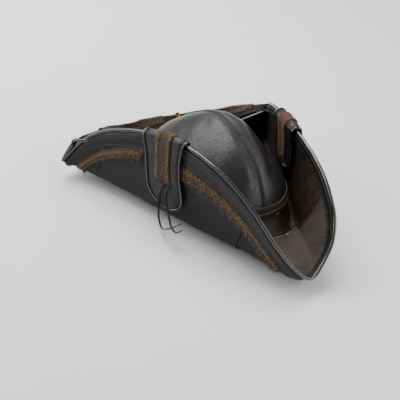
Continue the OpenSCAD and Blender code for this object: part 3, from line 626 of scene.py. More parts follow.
# ---- scattering: stitches and frayed ends on marked points ----
def scatter_tree():
    tree = bpy.data.node_groups.new("scatter along seams", "GeometryNodeTree")
    sock = tree.interface.new_socket
    sock("Points", in_out="INPUT", socket_type="NodeSocketGeometry")
    sock("Piece", in_out="INPUT", socket_type="NodeSocketObject")
    sock("Smallest", in_out="INPUT", socket_type="NodeSocketFloat")
    sock("Largest", in_out="INPUT", socket_type="NodeSocketFloat")
    sock("Tilt", in_out="INPUT", socket_type="NodeSocketFloat")
    sock("Seed", in_out="INPUT", socket_type="NodeSocketInt")
    sock("Finish", in_out="INPUT", socket_type="NodeSocketMaterial")
    sock("Geometry", in_out="OUTPUT", socket_type="NodeSocketGeometry")
    given = add(tree, "NodeGroupInput").outputs
    along = add(tree, "GeometryNodeInputNamedAttribute", {"Name": "along"},
        data_type="FLOAT_VECTOR").outputs[0]
    up = add(tree, "GeometryNodeInputNamedAttribute", {"Name": "up"}, data_type="FLOAT_VECTOR").outputs[0]
    face = add(tree, "FunctionNodeAxesToRotation", {"Primary Axis": up, "Secondary Axis": along},
        primary_axis="Z", secondary_axis="X").outputs[0]
    low = add(tree, "ShaderNodeMath", {0: given["Tilt"], 1: -1.0}, operation="MULTIPLY").outputs[0]
    lows = add(tree, "ShaderNodeCombineXYZ", {0: low, 1: low, 2: low}).outputs[0]
    highs = add(tree, "ShaderNodeCombineXYZ",
        {0: given["Tilt"], 1: given["Tilt"], 2: given["Tilt"]}).outputs[0]
    lean = add(tree, "FunctionNodeRandomValue", {"Min": lows, "Max": highs, "Seed": given["Seed"]},
        data_type="FLOAT_VECTOR").outputs[0]
    lean = add(tree, "FunctionNodeEulerToRotation", {0: lean}).outputs[0]
    turned = add(tree, "FunctionNodeRotateRotation", {0: face, 1: lean}, rotation_space="LOCAL").outputs[0]
    size = add(tree, "FunctionNodeRandomValue", data_type="FLOAT")
    tree.links.new(given["Smallest"], size.inputs[2])
    tree.links.new(given["Largest"], size.inputs[3])
    tree.links.new(given["Seed"], size.inputs["Seed"])
    piece = add(tree, "GeometryNodeObjectInfo", {"Object": given["Piece"]})
    put_on = add(tree, "GeometryNodeInstanceOnPoints",
        {"Points": given["Points"], "Instance": piece.outputs["Geometry"],
        "Rotation": turned, "Scale": size.outputs[1]})
    real = add(tree, "GeometryNodeRealizeInstances", {"Geometry": put_on.outputs[0]})
    done = add(tree, "GeometryNodeSetMaterial", {"Geometry": real.outputs[0], "Material": given["Finish"]})
    add(tree, "NodeGroupOutput", {0: done.outputs[0]})
    return tree


SCATTER = scatter_tree()


def seed_piece(name, grid):
    g = np.asarray(grid, float)
    n, m, _ = g.shape
    faces = [(i * m + j, (i + 1) * m + j, (i + 1) * m + (j + 1) % m, i * m + (j + 1) % m)
        for i in range(n - 1) for j in range(m)]
    faces += [tuple(range(m)), tuple((n - 1) * m + k for k in reversed(range(m)))]
    me = bpy.data.meshes.new(name)
    me.from_pydata([tuple(p) for p in g.reshape(-1, 3) * MM], [], faces)
    layer = me.uv_layers.new(name="UVMap")
    flat = np.array([[(l.vertex_index // m) * 0.4, (l.vertex_index % m) * 0.3] for l in me.loops]) * MM
    layer.data.foreach_set("uv", flat.astype(np.float32).ravel())
    me.shade_smooth()
    bm = bmesh.new()
    bm.from_mesh(me)
    bmesh.ops.recalc_face_normals(bm, faces=bm.faces)
    bm.to_mesh(me)
    bm.free()
    return bpy.data.objects.new(name, me)


def stitch_shape(long, wide, high):
    x = np.linspace(-1, 1, 9)
    path = np.stack([x * long / 2, 0 * x, high * (0.9 * (1 - x ** 4) - 0.45)], -1)
    r = np.sqrt(np.maximum(0.02, 1 - x ** 6))
    return tube_grid(path, np.array([0, 0, 1.0]), wide * r, high * r, 6)


def fray_shape(long, wide):
    x = np.linspace(0, 1, 7)
    path = np.stack([x * long, 0.18 * long * np.sin(x * 2.4), 0.12 * long * x ** 2], -1)
    r = wide * (1 - 0.75 * x)
    return tube_grid(path, np.array([0, 0, 1.0]), r, r, 4)


STITCH = seed_piece("stitch", stitch_shape(2.6, 0.75, 0.6))
WHIP = seed_piece("whip stitch", stitch_shape(6.0, 1.6, 1.1))
FRAY = seed_piece("frayed end", fray_shape(6.0, 0.75))
TUFT = seed_piece("yarn tuft", fray_shape(5.0, 1.9))


def scatter(name, points, along, up, piece, finish, small=0.85, large=1.1, tilt=0.12, seed=1,
        body="hat", nodes=()):
    me = bpy.data.meshes.new(name + " points")
    me.from_pydata([tuple(p) for p in np.asarray(points) * MM], [], [])
    for key, values in (("along", along), ("up", up)):
        at = me.attributes.new(key, "FLOAT_VECTOR", "POINT")
        at.data.foreach_set("vector", np.asarray(values, np.float32).ravel())
    src = bpy.data.objects.new(name + " points", me)
    bpy.context.scene.collection.objects.link(src)
    mod = src.modifiers.new("scatter", "NODES")
    mod.node_group = SCATTER
    given = {"Piece": piece, "Smallest": small, "Largest": large,
        "Tilt": tilt, "Seed": seed, "Finish": finish}
    for item in SCATTER.interface.items_tree:
        if item.in_out == "INPUT" and item.name in given:
            mod[item.identifier] = given[item.name]
    graph = bpy.context.evaluated_depsgraph_get()
    made = bpy.data.meshes.new_from_object(src.evaluated_get(graph), preserve_all_data_layers=True,
        depsgraph=graph)
    made.name = name
    bpy.data.objects.remove(src)
    obj = bpy.data.objects.new(name, made)
    bpy.context.scene.collection.objects.link(obj)
    made.shade_smooth()
    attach(obj, body)
    if nodes:
        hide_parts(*nodes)
    return obj


def evenly(path, pitch, jitter=0.0, seed=0):
    """Points pitch apart along a path, as positions into it."""
    run = np.concatenate([[0], np.cumsum(length(np.diff(path, axis=0)))])
    n = max(2, int(run[-1] / pitch))
    at = (np.arange(n) + 0.5) * run[-1] / n
    at = np.clip(at + np.random.RandomState(seed).uniform(-jitter, jitter, n) * pitch, 0, run[-1])
    return np.interp(at, run, np.arange(len(path)))


def pick(rows, at):
    i = np.clip(np.floor(at).astype(int), 0, len(rows) - 2)
    f = (at - i)[:, None]
    return rows[i] * (1 - f) + rows[i + 1] * f


def seam_points(s, d, o, pitch, inner=False):
    """Places for stitches along a line d below the edge; o lifts them off the leather."""
    v = below(s, d)
    lift = -BRIM_T - o if inner else o
    p, n = skin(s, v, lift), out_of(s, v) * (-1 if inner else 1)
    at = evenly(p, pitch)
    t = unit(np.gradient(p, axis=0))
    return pick(p, at), pick(t, at), pick(n, at)


# ---- crown ----
def crown_skin(angle, z, o=0.0):
    p = crown(angle, z, o)
    n = unit(p * np.array([1 / 86 ** 2, 1 / 107 ** 2, 1 / 85 ** 2]))
    slack = ease(np.asarray(z) / 25)
    pad = 1.8 * np.exp(-((np.abs(p[..., 0]) - 17) / 9) ** 2) - 1.2 * np.exp(-(p[..., 0] / 8) ** 2)
    high = np.clip((p[..., 2] - 30) / 25, 0, 1) * np.clip(1 - p[..., 1] / 60, 0, 1)
    return p + (slack * (1.5 * waves(p, 95, 11) + 0.7 * waves(p, 38, 12)) + pad * high)[..., None] * n


def crown_half(word, side):
    lift = np.sin(np.radians(np.linspace(0, 90, 46))) * CROWN_H
    angle = np.linspace(0, 180, 90) if side < 0 else np.linspace(180, 360, 90)
    a, z = np.meshgrid(angle, lift, indexing="ij")
    outer = crown_skin(a, z, 0)
    inner = crown_skin(a, z, -2.4)[:, ::-3]
    grid = np.concatenate([outer, inner], 1)
    grid[..., 0] += side * 0.15
    wear_and_sheen = np.zeros(grid.shape[:2])
    # The lighter rubbed colour rises towards the top of the dome as a painted sheen of light as well as
    # rubbing; it also runs in a band beside the seam.
    wear_and_sheen[:, :46] = 0.3 * ease((lift - 55) / 30)[None, :] + 0.5 * np.exp(-(length(outer[..., :1]) / 7) ** 2)
    name = "crown_" + word + "_panel"
    loft(name, grid, mats=[CROWN], nodes=[name], wear_and_sheen=wear_and_sheen, sharp=50)


crown_half("right", -1)
crown_half("left", 1)


def seam_line(u, o):
    z = 3 + (CROWN_H - 3) * np.sin(np.radians(90 - np.abs(u - 0.5) * 180))
    return crown_skin(np.where(u < 0.5, 0.0, 180.0), z, o)


u = np.linspace(0.055, 0.945, 220)
across = np.array([-2.75, -2.5, -1.9, -1.2, -0.5, 0, 0.5, 1.2, 1.9, 2.5, 2.75, 2.2, 0, -2.2])
height = np.array([0.2, 0.95, 1.7, 1.75, 0.9, 0.3, 0.9, 1.75, 1.7, 0.95, 0.2, 0.0, 0.0, 0.0])
mid = seam_line(u, 0)
lead = unit(np.gradient(mid, axis=0))
face = unit(np.cross(lead, np.array([1.0, 0, 0])))
face *= np.where((face * unit(mid)).sum(-1) > 0, 1, -1)[:, None]
rough = 1 + 0.12 * waves(mid, 9, 21)[:, None]
grid = mid[:, None, :] + (height[None, :] * rough)[..., None] * face[:, None, :]
grid[..., 0] = across[None, :] + 0.4 * waves(mid, 40, 22)[:, None]
# The two ridge tops of the seam get the lighter rubbed colour: a painted highlight along them as well as
# rubbing.
loft("crown_seam_strip", grid, mats=[CROWN], nodes=["crown_seam_strip"], sharp=60,
    wear_and_sheen=np.broadcast_to((height > 1)[None, :] * 0.9, grid.shape[:2]))
places = [[], [], []]
for q in (-1, 1):
    line = mid + face * 0.45 + np.array([q * 4.2, 0, 0])
    at = evenly(line, 4.4)
    for k, rows in enumerate((line, lead, face)):
        places[k].append(pick(rows, at))
scatter("crown_seam_stitches", *[np.concatenate(x) for x in places], STITCH, WAXED,
    seed=3, nodes=["crown_seam_stitches"])


# ---- inside the hat ----
def ring(name, rows_z, outer_o, inner_o, finish, node):
    angle = np.linspace(0, 360, 180, endpoint=False)
    a, z = np.meshgrid(angle, rows_z, indexing="ij")
    drop = np.minimum(z, 0)[..., None] * np.array([0, 0, 1.0])
    outer = crown(a, np.maximum(z, 0), outer_o) + drop
    inner = crown(a, np.maximum(z, 0), inner_o) + drop
    ripple = (0.25 * waves(inner, 30, 31))[..., None] * unit(inner * np.array([1, 1, 0]))
    rows = np.concatenate([outer, (inner + ripple)[:, ::-1]], 1)
    return loft(name, rows, around=True, mats=[finish], nodes=[node],
        wear_and_sheen=np.zeros((180, 2 * len(rows_z))))


ring("sweatband", np.linspace(-2, 28, 12), -4.8, -6.4, SWEAT, "sweatband")
angle = np.linspace(0, 360, 160, endpoint=False)
a, z = np.meshgrid(angle, CROWN_H * np.sin(np.radians(np.linspace(2, 90, 36))), indexing="ij")
grid = np.concatenate([crown(a, z, -3.0), crown(a, z, -4.2)[:, ::-1]], 1)
loft("crown_lining", grid, around=True, mats=[LINING], nodes=["crown_lining"])


# ---- hat band ----
def strand(name, z0, thick, seed):
    h = 7.0
    angle = np.linspace(0, 360, 300, endpoint=False)
    t = np.linspace(0, 2 * np.pi, 22, endpoint=False)
    zz = h / 2 + h / 2 * np.sign(np.sin(t)) * np.abs(np.sin(t)) ** 0.5
    oo = 0.2 + thick / 2 + thick / 2 * np.sign(np.cos(t)) * np.abs(np.cos(t)) ** 0.45
    a, z = np.meshgrid(angle, zz, indexing="ij")
    o = np.broadcast_to(oo, a.shape)
    base = crown(a, z0 + z, 0)
    sway = 0.45 * waves(base * [1, 1, 0.0], 60, seed) + 0.15 * waves(base * [1, 1, 0.0], 14, seed + 1)
    puff = 1 + 0.12 * waves(base, 22, seed + 2)
    grid = crown(a, z0 + z + sway, o * puff)
    edge = np.broadcast_to(np.abs(np.sin(t)) ** 6, a.shape)
    loft(name, grid, around=True, mats=[BAND], nodes=[name], wear_and_sheen=edge, sharp=60)


strand("hat_band_lower", 2.9, 3.2, 41)
strand("hat_band_upper", 10.2, 2.0, 45)

# ---- brim panels ----
FRONT_S, REAR_S, SEAM = 3.0, 6.1, 0.006


def knots_between(a, b, step=2.0, per=72.0):
    """Knot values from a to b, closer together near both ends, where the seams are."""
    near = np.array([0, 0.4, 0.8, 1.2, 1.6, 2.0, 2.4, 2.9, 3.5, 4.3]) / per
    inner = np.linspace(a + 5.5 / per, b - 5.5 / per, int((b - a) * per / step))
    return np.concatenate([a + near, inner, (b - near)[::-1]])


def hem(dist, high=0.95):
    return high * np.exp(-((dist - 1.7) / 1.0) ** 2) - 0.35 * np.exp(-(dist / 0.5) ** 2)


def depth(s, v):
    """Distance below the rim of a section value, where there is no flap."""
    l = lengths(s)
    wall = l[2] * (1 - np.clip((v - FOLD_V) / (1 - FOLD_V), 0, 1))
    fold = l[3] * (1 - np.clip((v - FLOOR_V) / (FOLD_V - FLOOR_V), 0, 1))
    return wall + fold + l[4] * (1 - np.clip(v / FLOOR_V, 0, 1))


def leather_panel(name, a, b, finish, cut=None, arc_hem=False, start_cut=None, rows=76, inside=None):
    s = knots_between(a, b)
    l = lengths(s)
    whole = sum(l[:4]) + l[4]
    reach = whole if cut is None else depth(s, cut(s))
    begin = np.zeros_like(s) if start_cut is None else depth(s, start_cut(s))
    q = np.linspace(0, 1, rows)
    d = begin[:, None] + (reach - begin)[:, None] * q[None, :]
    ss = np.broadcast_to(s[:, None], d.shape)
    v = np.clip(below(ss, d), 0, EDGE_V)
    pace = length(sec(ss + 0.01, v) - sec(ss - 0.01, v)) / 0.02
    start_h, end_h = [0.9 if abs(abs(rail_s) - FRONT_S) < 0.1 or abs(rail_s - TURN + FRONT_S) < 0.1 else 0.4
        for rail_s in (a, b)]
    ridge = hem((ss - a) * pace, start_h) + hem((b - ss) * pace, end_h)
    if arc_hem:
        ridge = ridge + hem(reach[:, None] - d)
    if start_cut is not None:
        ridge = ridge + hem(d - begin[:, None])
    outer = skin(ss, v, ridge)
    inner = skin(ss, v, -BRIM_T - 0.8 * np.maximum(ridge, 0))[:, ::-1]
    grid = np.concatenate([outer, inner], 1)
    wear_and_sheen = np.zeros(grid.shape[:2])
    wear_and_sheen[:, :rows] = np.clip(0.45 * np.exp(-((v - 0.49) / 0.05) ** 2) + 0.9 * (ridge > 0.5), 0, 1)
    if inside:
        turn = np.minimum(np.mod(ss, TURN), TURN - np.mod(ss, TURN))
        near_front = np.clip(1 - (turn - FRONT_S) / 1.8, 0, 1)
        wear_and_sheen[:, rows:] = (0.95 * near_front * np.clip((v - 0.5) / 0.3, 0, 1))[:, ::-1]
        return loft(name, grid, mats=[finish, inside], first_rows=rows - 1, nodes=[name], wear_and_sheen=wear_and_sheen,
            sharp=50)
    return loft(name, grid, mats=[finish], nodes=[name], wear_and_sheen=wear_and_sheen, sharp=50)


def front_cut(s):
    k = np.where(s > BACK_S, s - TURN, s) / FRONT_S
    return 0.13 + 0.2 * k ** 2 + 0.2 * k ** 6


leather_panel("brim_front_panel", -FRONT_S + SEAM, FRONT_S - SEAM, BRIM, cut=front_cut, arc_hem=True,
    rows=90,
    inside=WORN)
leather_panel("brim_front_floor", -FRONT_S + SEAM, FRONT_S - SEAM, INNER,
    start_cut=lambda s: front_cut(s) - 0.006, rows=50)
leather_panel("brim_right_panel", FRONT_S + SEAM, REAR_S - SEAM, BRIM, inside=INNER)
leather_panel("brim_left_panel", TURN - REAR_S + SEAM, TURN - FRONT_S - SEAM, BRIM, inside=INNER)
back = leather_panel("brim_back_panel", REAR_S + SEAM, TURN - REAR_S - SEAM, BRIM, rows=84)

EYELET_S = [BACK_S + (34 + q * 13) / 79 for q in (-1, 1)]
bm = bmesh.new()
bm.from_mesh(back.data)
centres = [skin(s, below(s, 17.0), -1.3) * MM for s in np.array(EYELET_S)]
hole_r = 3.4 * MM
gone = [f for f in bm.faces
    if min(np.linalg.norm(np.array(f.calc_center_median()) - c) for c in centres) < hole_r]
bmesh.ops.delete(bm, geom=gone, context="FACES")
bm.to_mesh(back.data)
bm.free()


# ---- trim that follows the rim ----
def strip_grid(s, d0, d1, t, lift=TOUCH, inner=False, n=12, wavy=0.0, seed=0):
    s = np.asarray(s, float)
    q = np.linspace(0, 1, n)
    round_off = np.sqrt(np.maximum(0, 1 - np.abs(2 * q - 1) ** 5))
    low = np.concatenate([q, q[::-1]])
    o = np.concatenate([lift + t * (0.25 + 0.75 * round_off), np.full(n, lift)])
    d0, d1 = np.broadcast_to(d0, s.shape), np.broadcast_to(d1, s.shape)
    d = d0[:, None] + (d1 - d0)[:, None] * low[None, :]
    ss = np.broadcast_to(s[:, None], d.shape)
    if wavy:
        d = d + wavy * waves(sec(ss, below(ss, d)), 12, seed) * low[None, :]
    o = np.broadcast_to(o, d.shape)
    o = -BRIM_T - o if inner else o
    return skin(ss, below(ss, d), o)


def knots(a, b, step=2.0, per=74.0):
    return np.linspace(a, b, max(4, int(abs(b - a) * per / step)))


def strip_piece(name, s, d0, d1, t, finish, nodes=(), **kw):
    grid = strip_grid(s, d0, d1, t, **kw)
    edge = np.zeros(grid.shape[:2])
    edge[:, [0, 1, 10, 11]] = 0.8
    return loft(name, grid, mats=[finish], nodes=nodes, wear_and_sheen=edge, sharp=60)


binding_s = np.linspace(BACK_S, BACK_S + TURN, 760, endpoint=False)
centre, side_way, out_way = rim_frame(binding_s)
t = np.linspace(0, 2 * np.pi, 16, endpoint=False)
crimp = 1 + 0.02 * waves(centre, 26, 51) + 0.006 * waves(centre, 7, 52)
grid = centre[:, None, :] + BIND_R * crimp[:, None, None] * (
    np.cos(t)[None, :, None] * side_way[:, None, :] + np.sin(t)[None, :, None] * out_way[:, None, :])
loft("rim_binding", grid, around=True, mats=[ROLL], nodes=["rim_binding"], sharp=70,
    wear_and_sheen=np.broadcast_to(np.maximum(0, np.sin(t)) ** 4 * 0.8, grid.shape[:2]))

for side, word in ((-1, "right"), (1, "left")):
    s = mirrored(knots(0.35, 7.9), side)
    strip_piece(word + "_border", np.sort(s), 0.6, BORDER_W, 1.2, STRIP, [word + "_border"])
strip_piece("back_border", knots(10.2, 13.8), 0.6, 7.0, 1.2, STRIP, ["back_border"])
inner_s = knots(-7.85, 7.85)
strip_piece("inner_rim_border", inner_s, 0.3, 9.0, 0.9, STRIP, inner=True, wavy=0.5, seed=61)


def many(name, lists, piece, finish, **kw):
    scatter(name, *[np.concatenate([x[k] for x in lists]) for k in range(3)], piece, finish, **kw)


lines = []
for side in (-1, 1):
    s = np.sort(mirrored(knots(0.42, 7.82, 1.0), side))
    lines += [seam_points(s, 2.4, 1.3, 4.2), seam_points(s, BORDER_W - 2.2, 1.3, 4.2)]
s = knots(10.3, 13.7, 1.0)
lines += [seam_points(s, 5.4, 1.3, 4.0)]
many("border_stitches", lines, STITCH, DARK, seed=7)

# cross stitches that roughen the border, and whip stitches over the inner border's edge
rows = []
for side in (-1, 1):
    for d, q in ((5.6, 0.5), (8.6, -0.5)):
        p, a, n = seam_points(np.sort(mirrored(knots(0.42, 7.82, 1.0), side)), d, 1.25, 2.7)
        rows.append((p, unit(np.cross(a, n) + a * q), n))
many("border_cross_stitches", rows, STITCH, DARK, seed=17, small=1.0, large=1.5, tilt=0.3)
s = knots(-7.8, 7.8, 1.0)
p, a, n = seam_points(s, 9.4, 0.75, 3.7, inner=True)
over = unit(np.cross(a, n))
scatter("inner_whip_stitches", p, over, n, WHIP, DARK, 0.7, 1.3, 0.45, 9)


# ---- braid ----
def braid_at(s):
    k = np.minimum(np.mod(s, TURN), TURN - np.mod(s, TURN))
    return BORDER_W + 0.3 + 12 * ease((k - 5.5) / 1.2)


def rim_map(s, top, low):
    """Turns mm along, share across and mm of lift into a point on the brim."""
    mid = skin(s, below(s, (top(s) + low(s)) / 2), 0)
    run = np.concatenate([[0], np.cumsum(length(np.diff(mid, axis=0)))])

    def at(x, y, o):
        k = np.interp(x, run, s)
        v = below(k, top(k) + (low(k) - top(k)) * y)
        return skin(k, v, o), out_of(k, v)
    return at, run[-1]


def plait(at, long, wide, lift=1.1, pitch=2.8, ragged=0.0, seed=0):
    """The strands of a flat braid, each going to and fro over and under the others."""
    rng = np.random.RandomState(seed)
    n = int(round(2 * wide / pitch))
    period = 2 * wide
    step = period / n
    x = np.arange(0, long + 0.01, step / 4)
    strands = []
    for i in range(n):
        off = rng.uniform(-0.1, 0.1) * step
        phase = np.mod((x - i * step + off) / period, 1)
        rising = phase < 0.5
        y = np.where(rising, 2 * phase, 2 - 2 * phase)
        hang = np.sqrt(np.maximum(0, 1 - (2 * y - 1) ** 2))
        z = 0.36 * np.cos(2 * np.pi * (x - period / 4) / step) * hang * np.where(rising, 1, -1)
        edge = 1 + ragged * (y > 0.9) * rng.uniform(-0.2, 1.0, len(x))
        p, up = at(x, 0.5 + (y - 0.5) * 0.97 * edge, lift + z)
        wobble = rng.uniform(0.85, 1.12)
        strands.append(tube_grid(p, up, step * 0.7 * wobble, 0.85, 6))
    return strands


def zigzag_grid(at, long, y0, y1, lift, zig, thick, phase=0.0):
    x = np.arange(1.0, long - 1.0, zig / 6)
    tri = 0.5 + np.arcsin(0.97 * np.sin(np.pi * (x / zig + phase))) / np.pi
    p, up = at(x, y0 + (y1 - y0) * tri, lift)
    return tube_grid(p, up, thick, thick * 0.8, 6)


def fray_points(at, long, y, lift, pitch, seed, spread=1.0, reverse=False):
    """Loose ends along one edge of a braid, pointing away from it."""
    rng = np.random.RandomState(seed)
    x = np.arange(1.0, long - 1.0, pitch)
    x = x + rng.uniform(-0.5, 0.5, len(x)) * pitch
    p, up = at(x, np.full(len(x), y), lift)
    q, _ = at(x, np.full(len(x), y + (-0.1 if reverse else 0.1)), lift)
    r, _ = at(x + 0.5, np.full(len(x), y), lift)
    down, along = unit(q - p), unit(r - p)
    way = unit(down + along * rng.normal(size=(len(x), 1)) * 0.5 * spread
        + up * rng.uniform(0.0, 0.45, (len(x), 1)))
    return p, way, up


# How far inside its cut end a braid frays
CUT_IN = 0.3


def end_frays(at, long, x0, count, seed):
    """A tuft at one cut end of a braid."""
    rng = np.random.RandomState(seed)
    y = rng.uniform(0, 1, count)
    x = np.full(count, x0)
    p, up = at(x, y, rng.uniform(0.4, 1.6, count))
    q, _ = at(np.full(count, x0 + 0.6), y, 1.0)
    r, _ = at(np.full(count, x0 - 0.6), y, 1.0)
    along = unit(q - r) * (-1 if x0 < long / 2 else 1)
    down = unit(np.cross(along, up))
    way = unit(along + down * rng.normal(size=(count, 1)) * 0.45 + up * rng.uniform(-0.1, 0.3, (count, 1)))
    return p, way, up


def trim_run(names, runs, top, low, finish, seed, zig_y, zig=3.4, loose_size=(0.35, 1.1), tuft_finish=None):
    """Braid with a gold and an olive zigzag on it and loose ends along its free edge."""
    braid, thread = names
    strands, gold, olive, loose, lumps, backing = [], [], [], [], [], []
    for k, s in enumerate(runs):
        at, long = rim_map(s, top, low)
        wide = float(np.mean(low(s) - top(s)))
        strands += plait(at, long, wide, ragged=0.06, seed=seed + k)
        backing.append(strip_grid(s, top(s) + 0.6, low(s) - 0.6, 0.5))
        gold.append(zigzag_grid(at, long, zig_y[0], zig_y[1], 2.35, zig, 0.85))
        olive.append(zigzag_grid(at, long, zig_y[0] + 0.03, zig_y[1] + 0.04, 2.2, zig, 0.8, 1.0))
        loose += [fray_points(at, long, y, o, 0.55, seed + 10 * k + j, 1.0)
            for j, (y, o) in enumerate(((0.93, 1.7), (0.98, 1.2), (1.0, 0.7)))]
        loose += [end_frays(at, long, CUT_IN, 90, seed + 2 + k),
            end_frays(at, long, long - CUT_IN, 90, seed + 3 + k)]
        lumps += [fray_points(at, long, y, 1.5, 2.1, seed + 20 * k + 5 + j, 1.3)
            for j, y in enumerate((0.86, 0.97))]
        lumps += [end_frays(at, long, CUT_IN, 16, seed + 8 + k),
            end_frays(at, long, long - CUT_IN, 16, seed + 9 + k)]
    joined(braid, strands, mats=[finish], nodes=[braid], sharp=80)
    joined(braid + "_backing", backing, mats=[finish], sharp=60)
    joined(thread, gold, mats=[GOLD], nodes=[thread], sharp=80)
    joined(thread + "_olive", olive, mats=[OLIVE], sharp=80)
    low_size, high_size = loose_size
    many(braid + "_frays", loose, FRAY, finish, small=low_size, large=high_size, tilt=0.5, seed=seed)
    many(braid + "_tufts", lumps, TUFT, tuft_finish or FRAYED, small=low_size + 0.2, large=high_size,
        tilt=0.6,
        seed=seed + 1)


side_top, side_low = braid_at, lambda s: braid_at(s) + BRAID_W
for side, word, finish in ((-1, "right", BRAID), (1, "left", REDDISH)):
    runs = (("front", (1.45, 4.5), 100, (0.06, 0.62)), ("rear", (5.35, 7.3), 120, (0.25, 0.7)))
    for part, ends, seed, across in runs:
        s = np.sort(mirrored(knots(*ends, 1.0), side))
        trim_run((f"{word}_{part}_braid", f"{word}_{part}_zigzag"), [s], side_top, side_low, finish,
            seed + (side > 0) * 7, across)
trim_run(("back_braid", "back_zigzag"), [knots(10.4, 11.95, 1.0), knots(12.95, 13.7, 1.0)],
    lambda k: 7.3 + 0 * k, lambda k: 21.3 + 0 * k, BRAID, 140, (0.1, 0.6), loose_size=(0.25, 0.6),
    tuft_finish=BRAID)

# ---- strap tabs ----
TAB_W, TAB_OUT, TAB_IN, TAB_ROUND = 50.0, 80.0, 76.0, 24.0
TAB_BRAID_W, TAB_BRAID_L, PIPE_R = 24.0, 48.0, 1.6


def leg(p):
    return np.where(p >= 0, p, np.where(p <= -1, -1 - p, 0))


def tab_half(p):
    whole = np.where(p >= 0, TAB_OUT, TAB_IN)
    d = leg(p)
    flare = 1 + 0.14 * ease(1 - d / 22)
    r = np.maximum(0, (d - (whole - TAB_ROUND)) / TAB_ROUND)
    return TAB_W / 2 * flare * np.sqrt(np.maximum(0.04, 1 - 0.96 * r * r))


def tab_mid(p, side):
    ahead = 0 if side < 0 else TAB_AHEAD / KNOT_L
    return 5.03 - ahead - np.where(p >= 0, 0.0062 * p, np.where(p <= -1, 0.003 * leg(p), 0))


def tab_pt(side, p, across, o):
    p, across, o = np.broadcast_arrays(np.asarray(p, float), np.asarray(across, float), np.asarray(o, float))
    s = mirrored(tab_mid(p, side) - across / KNOT_L, side)
    d = leg(p)
    v = below(s, d)
    base, _, e = rim_frame(s)
    phi = np.pi * np.clip(-p, 0, 1)[..., None]
    outside = skin(s, v, TAB_GAP + o)
    inside = skin(s, v, -BRIM_T - TAB_GAP - o)
    arch = base - e * (BIND_R + TOUCH) * (1 - np.sin(phi)) + (TAB_GAP + BRIM_T / 2 + o)[..., None] * (
        np.cos(phi) * out_of(s, np.ones_like(s)) + 0.75 * np.sin(phi) * e)
    return np.where(column(p > 0), outside, np.where(column(p < -1), inside, arch))


def tab_steps(a, b, step=1.6):
    """Path values from the outer leg at a mm, over the arch, to the inner leg at b mm."""
    out = np.linspace(a, 0.2, int(a / step))
    arch = -np.linspace(0.02, 0.98, 26)
    inn = -1 - np.linspace(0.2, b, int(b / step))
    return np.concatenate([out, arch, inn])


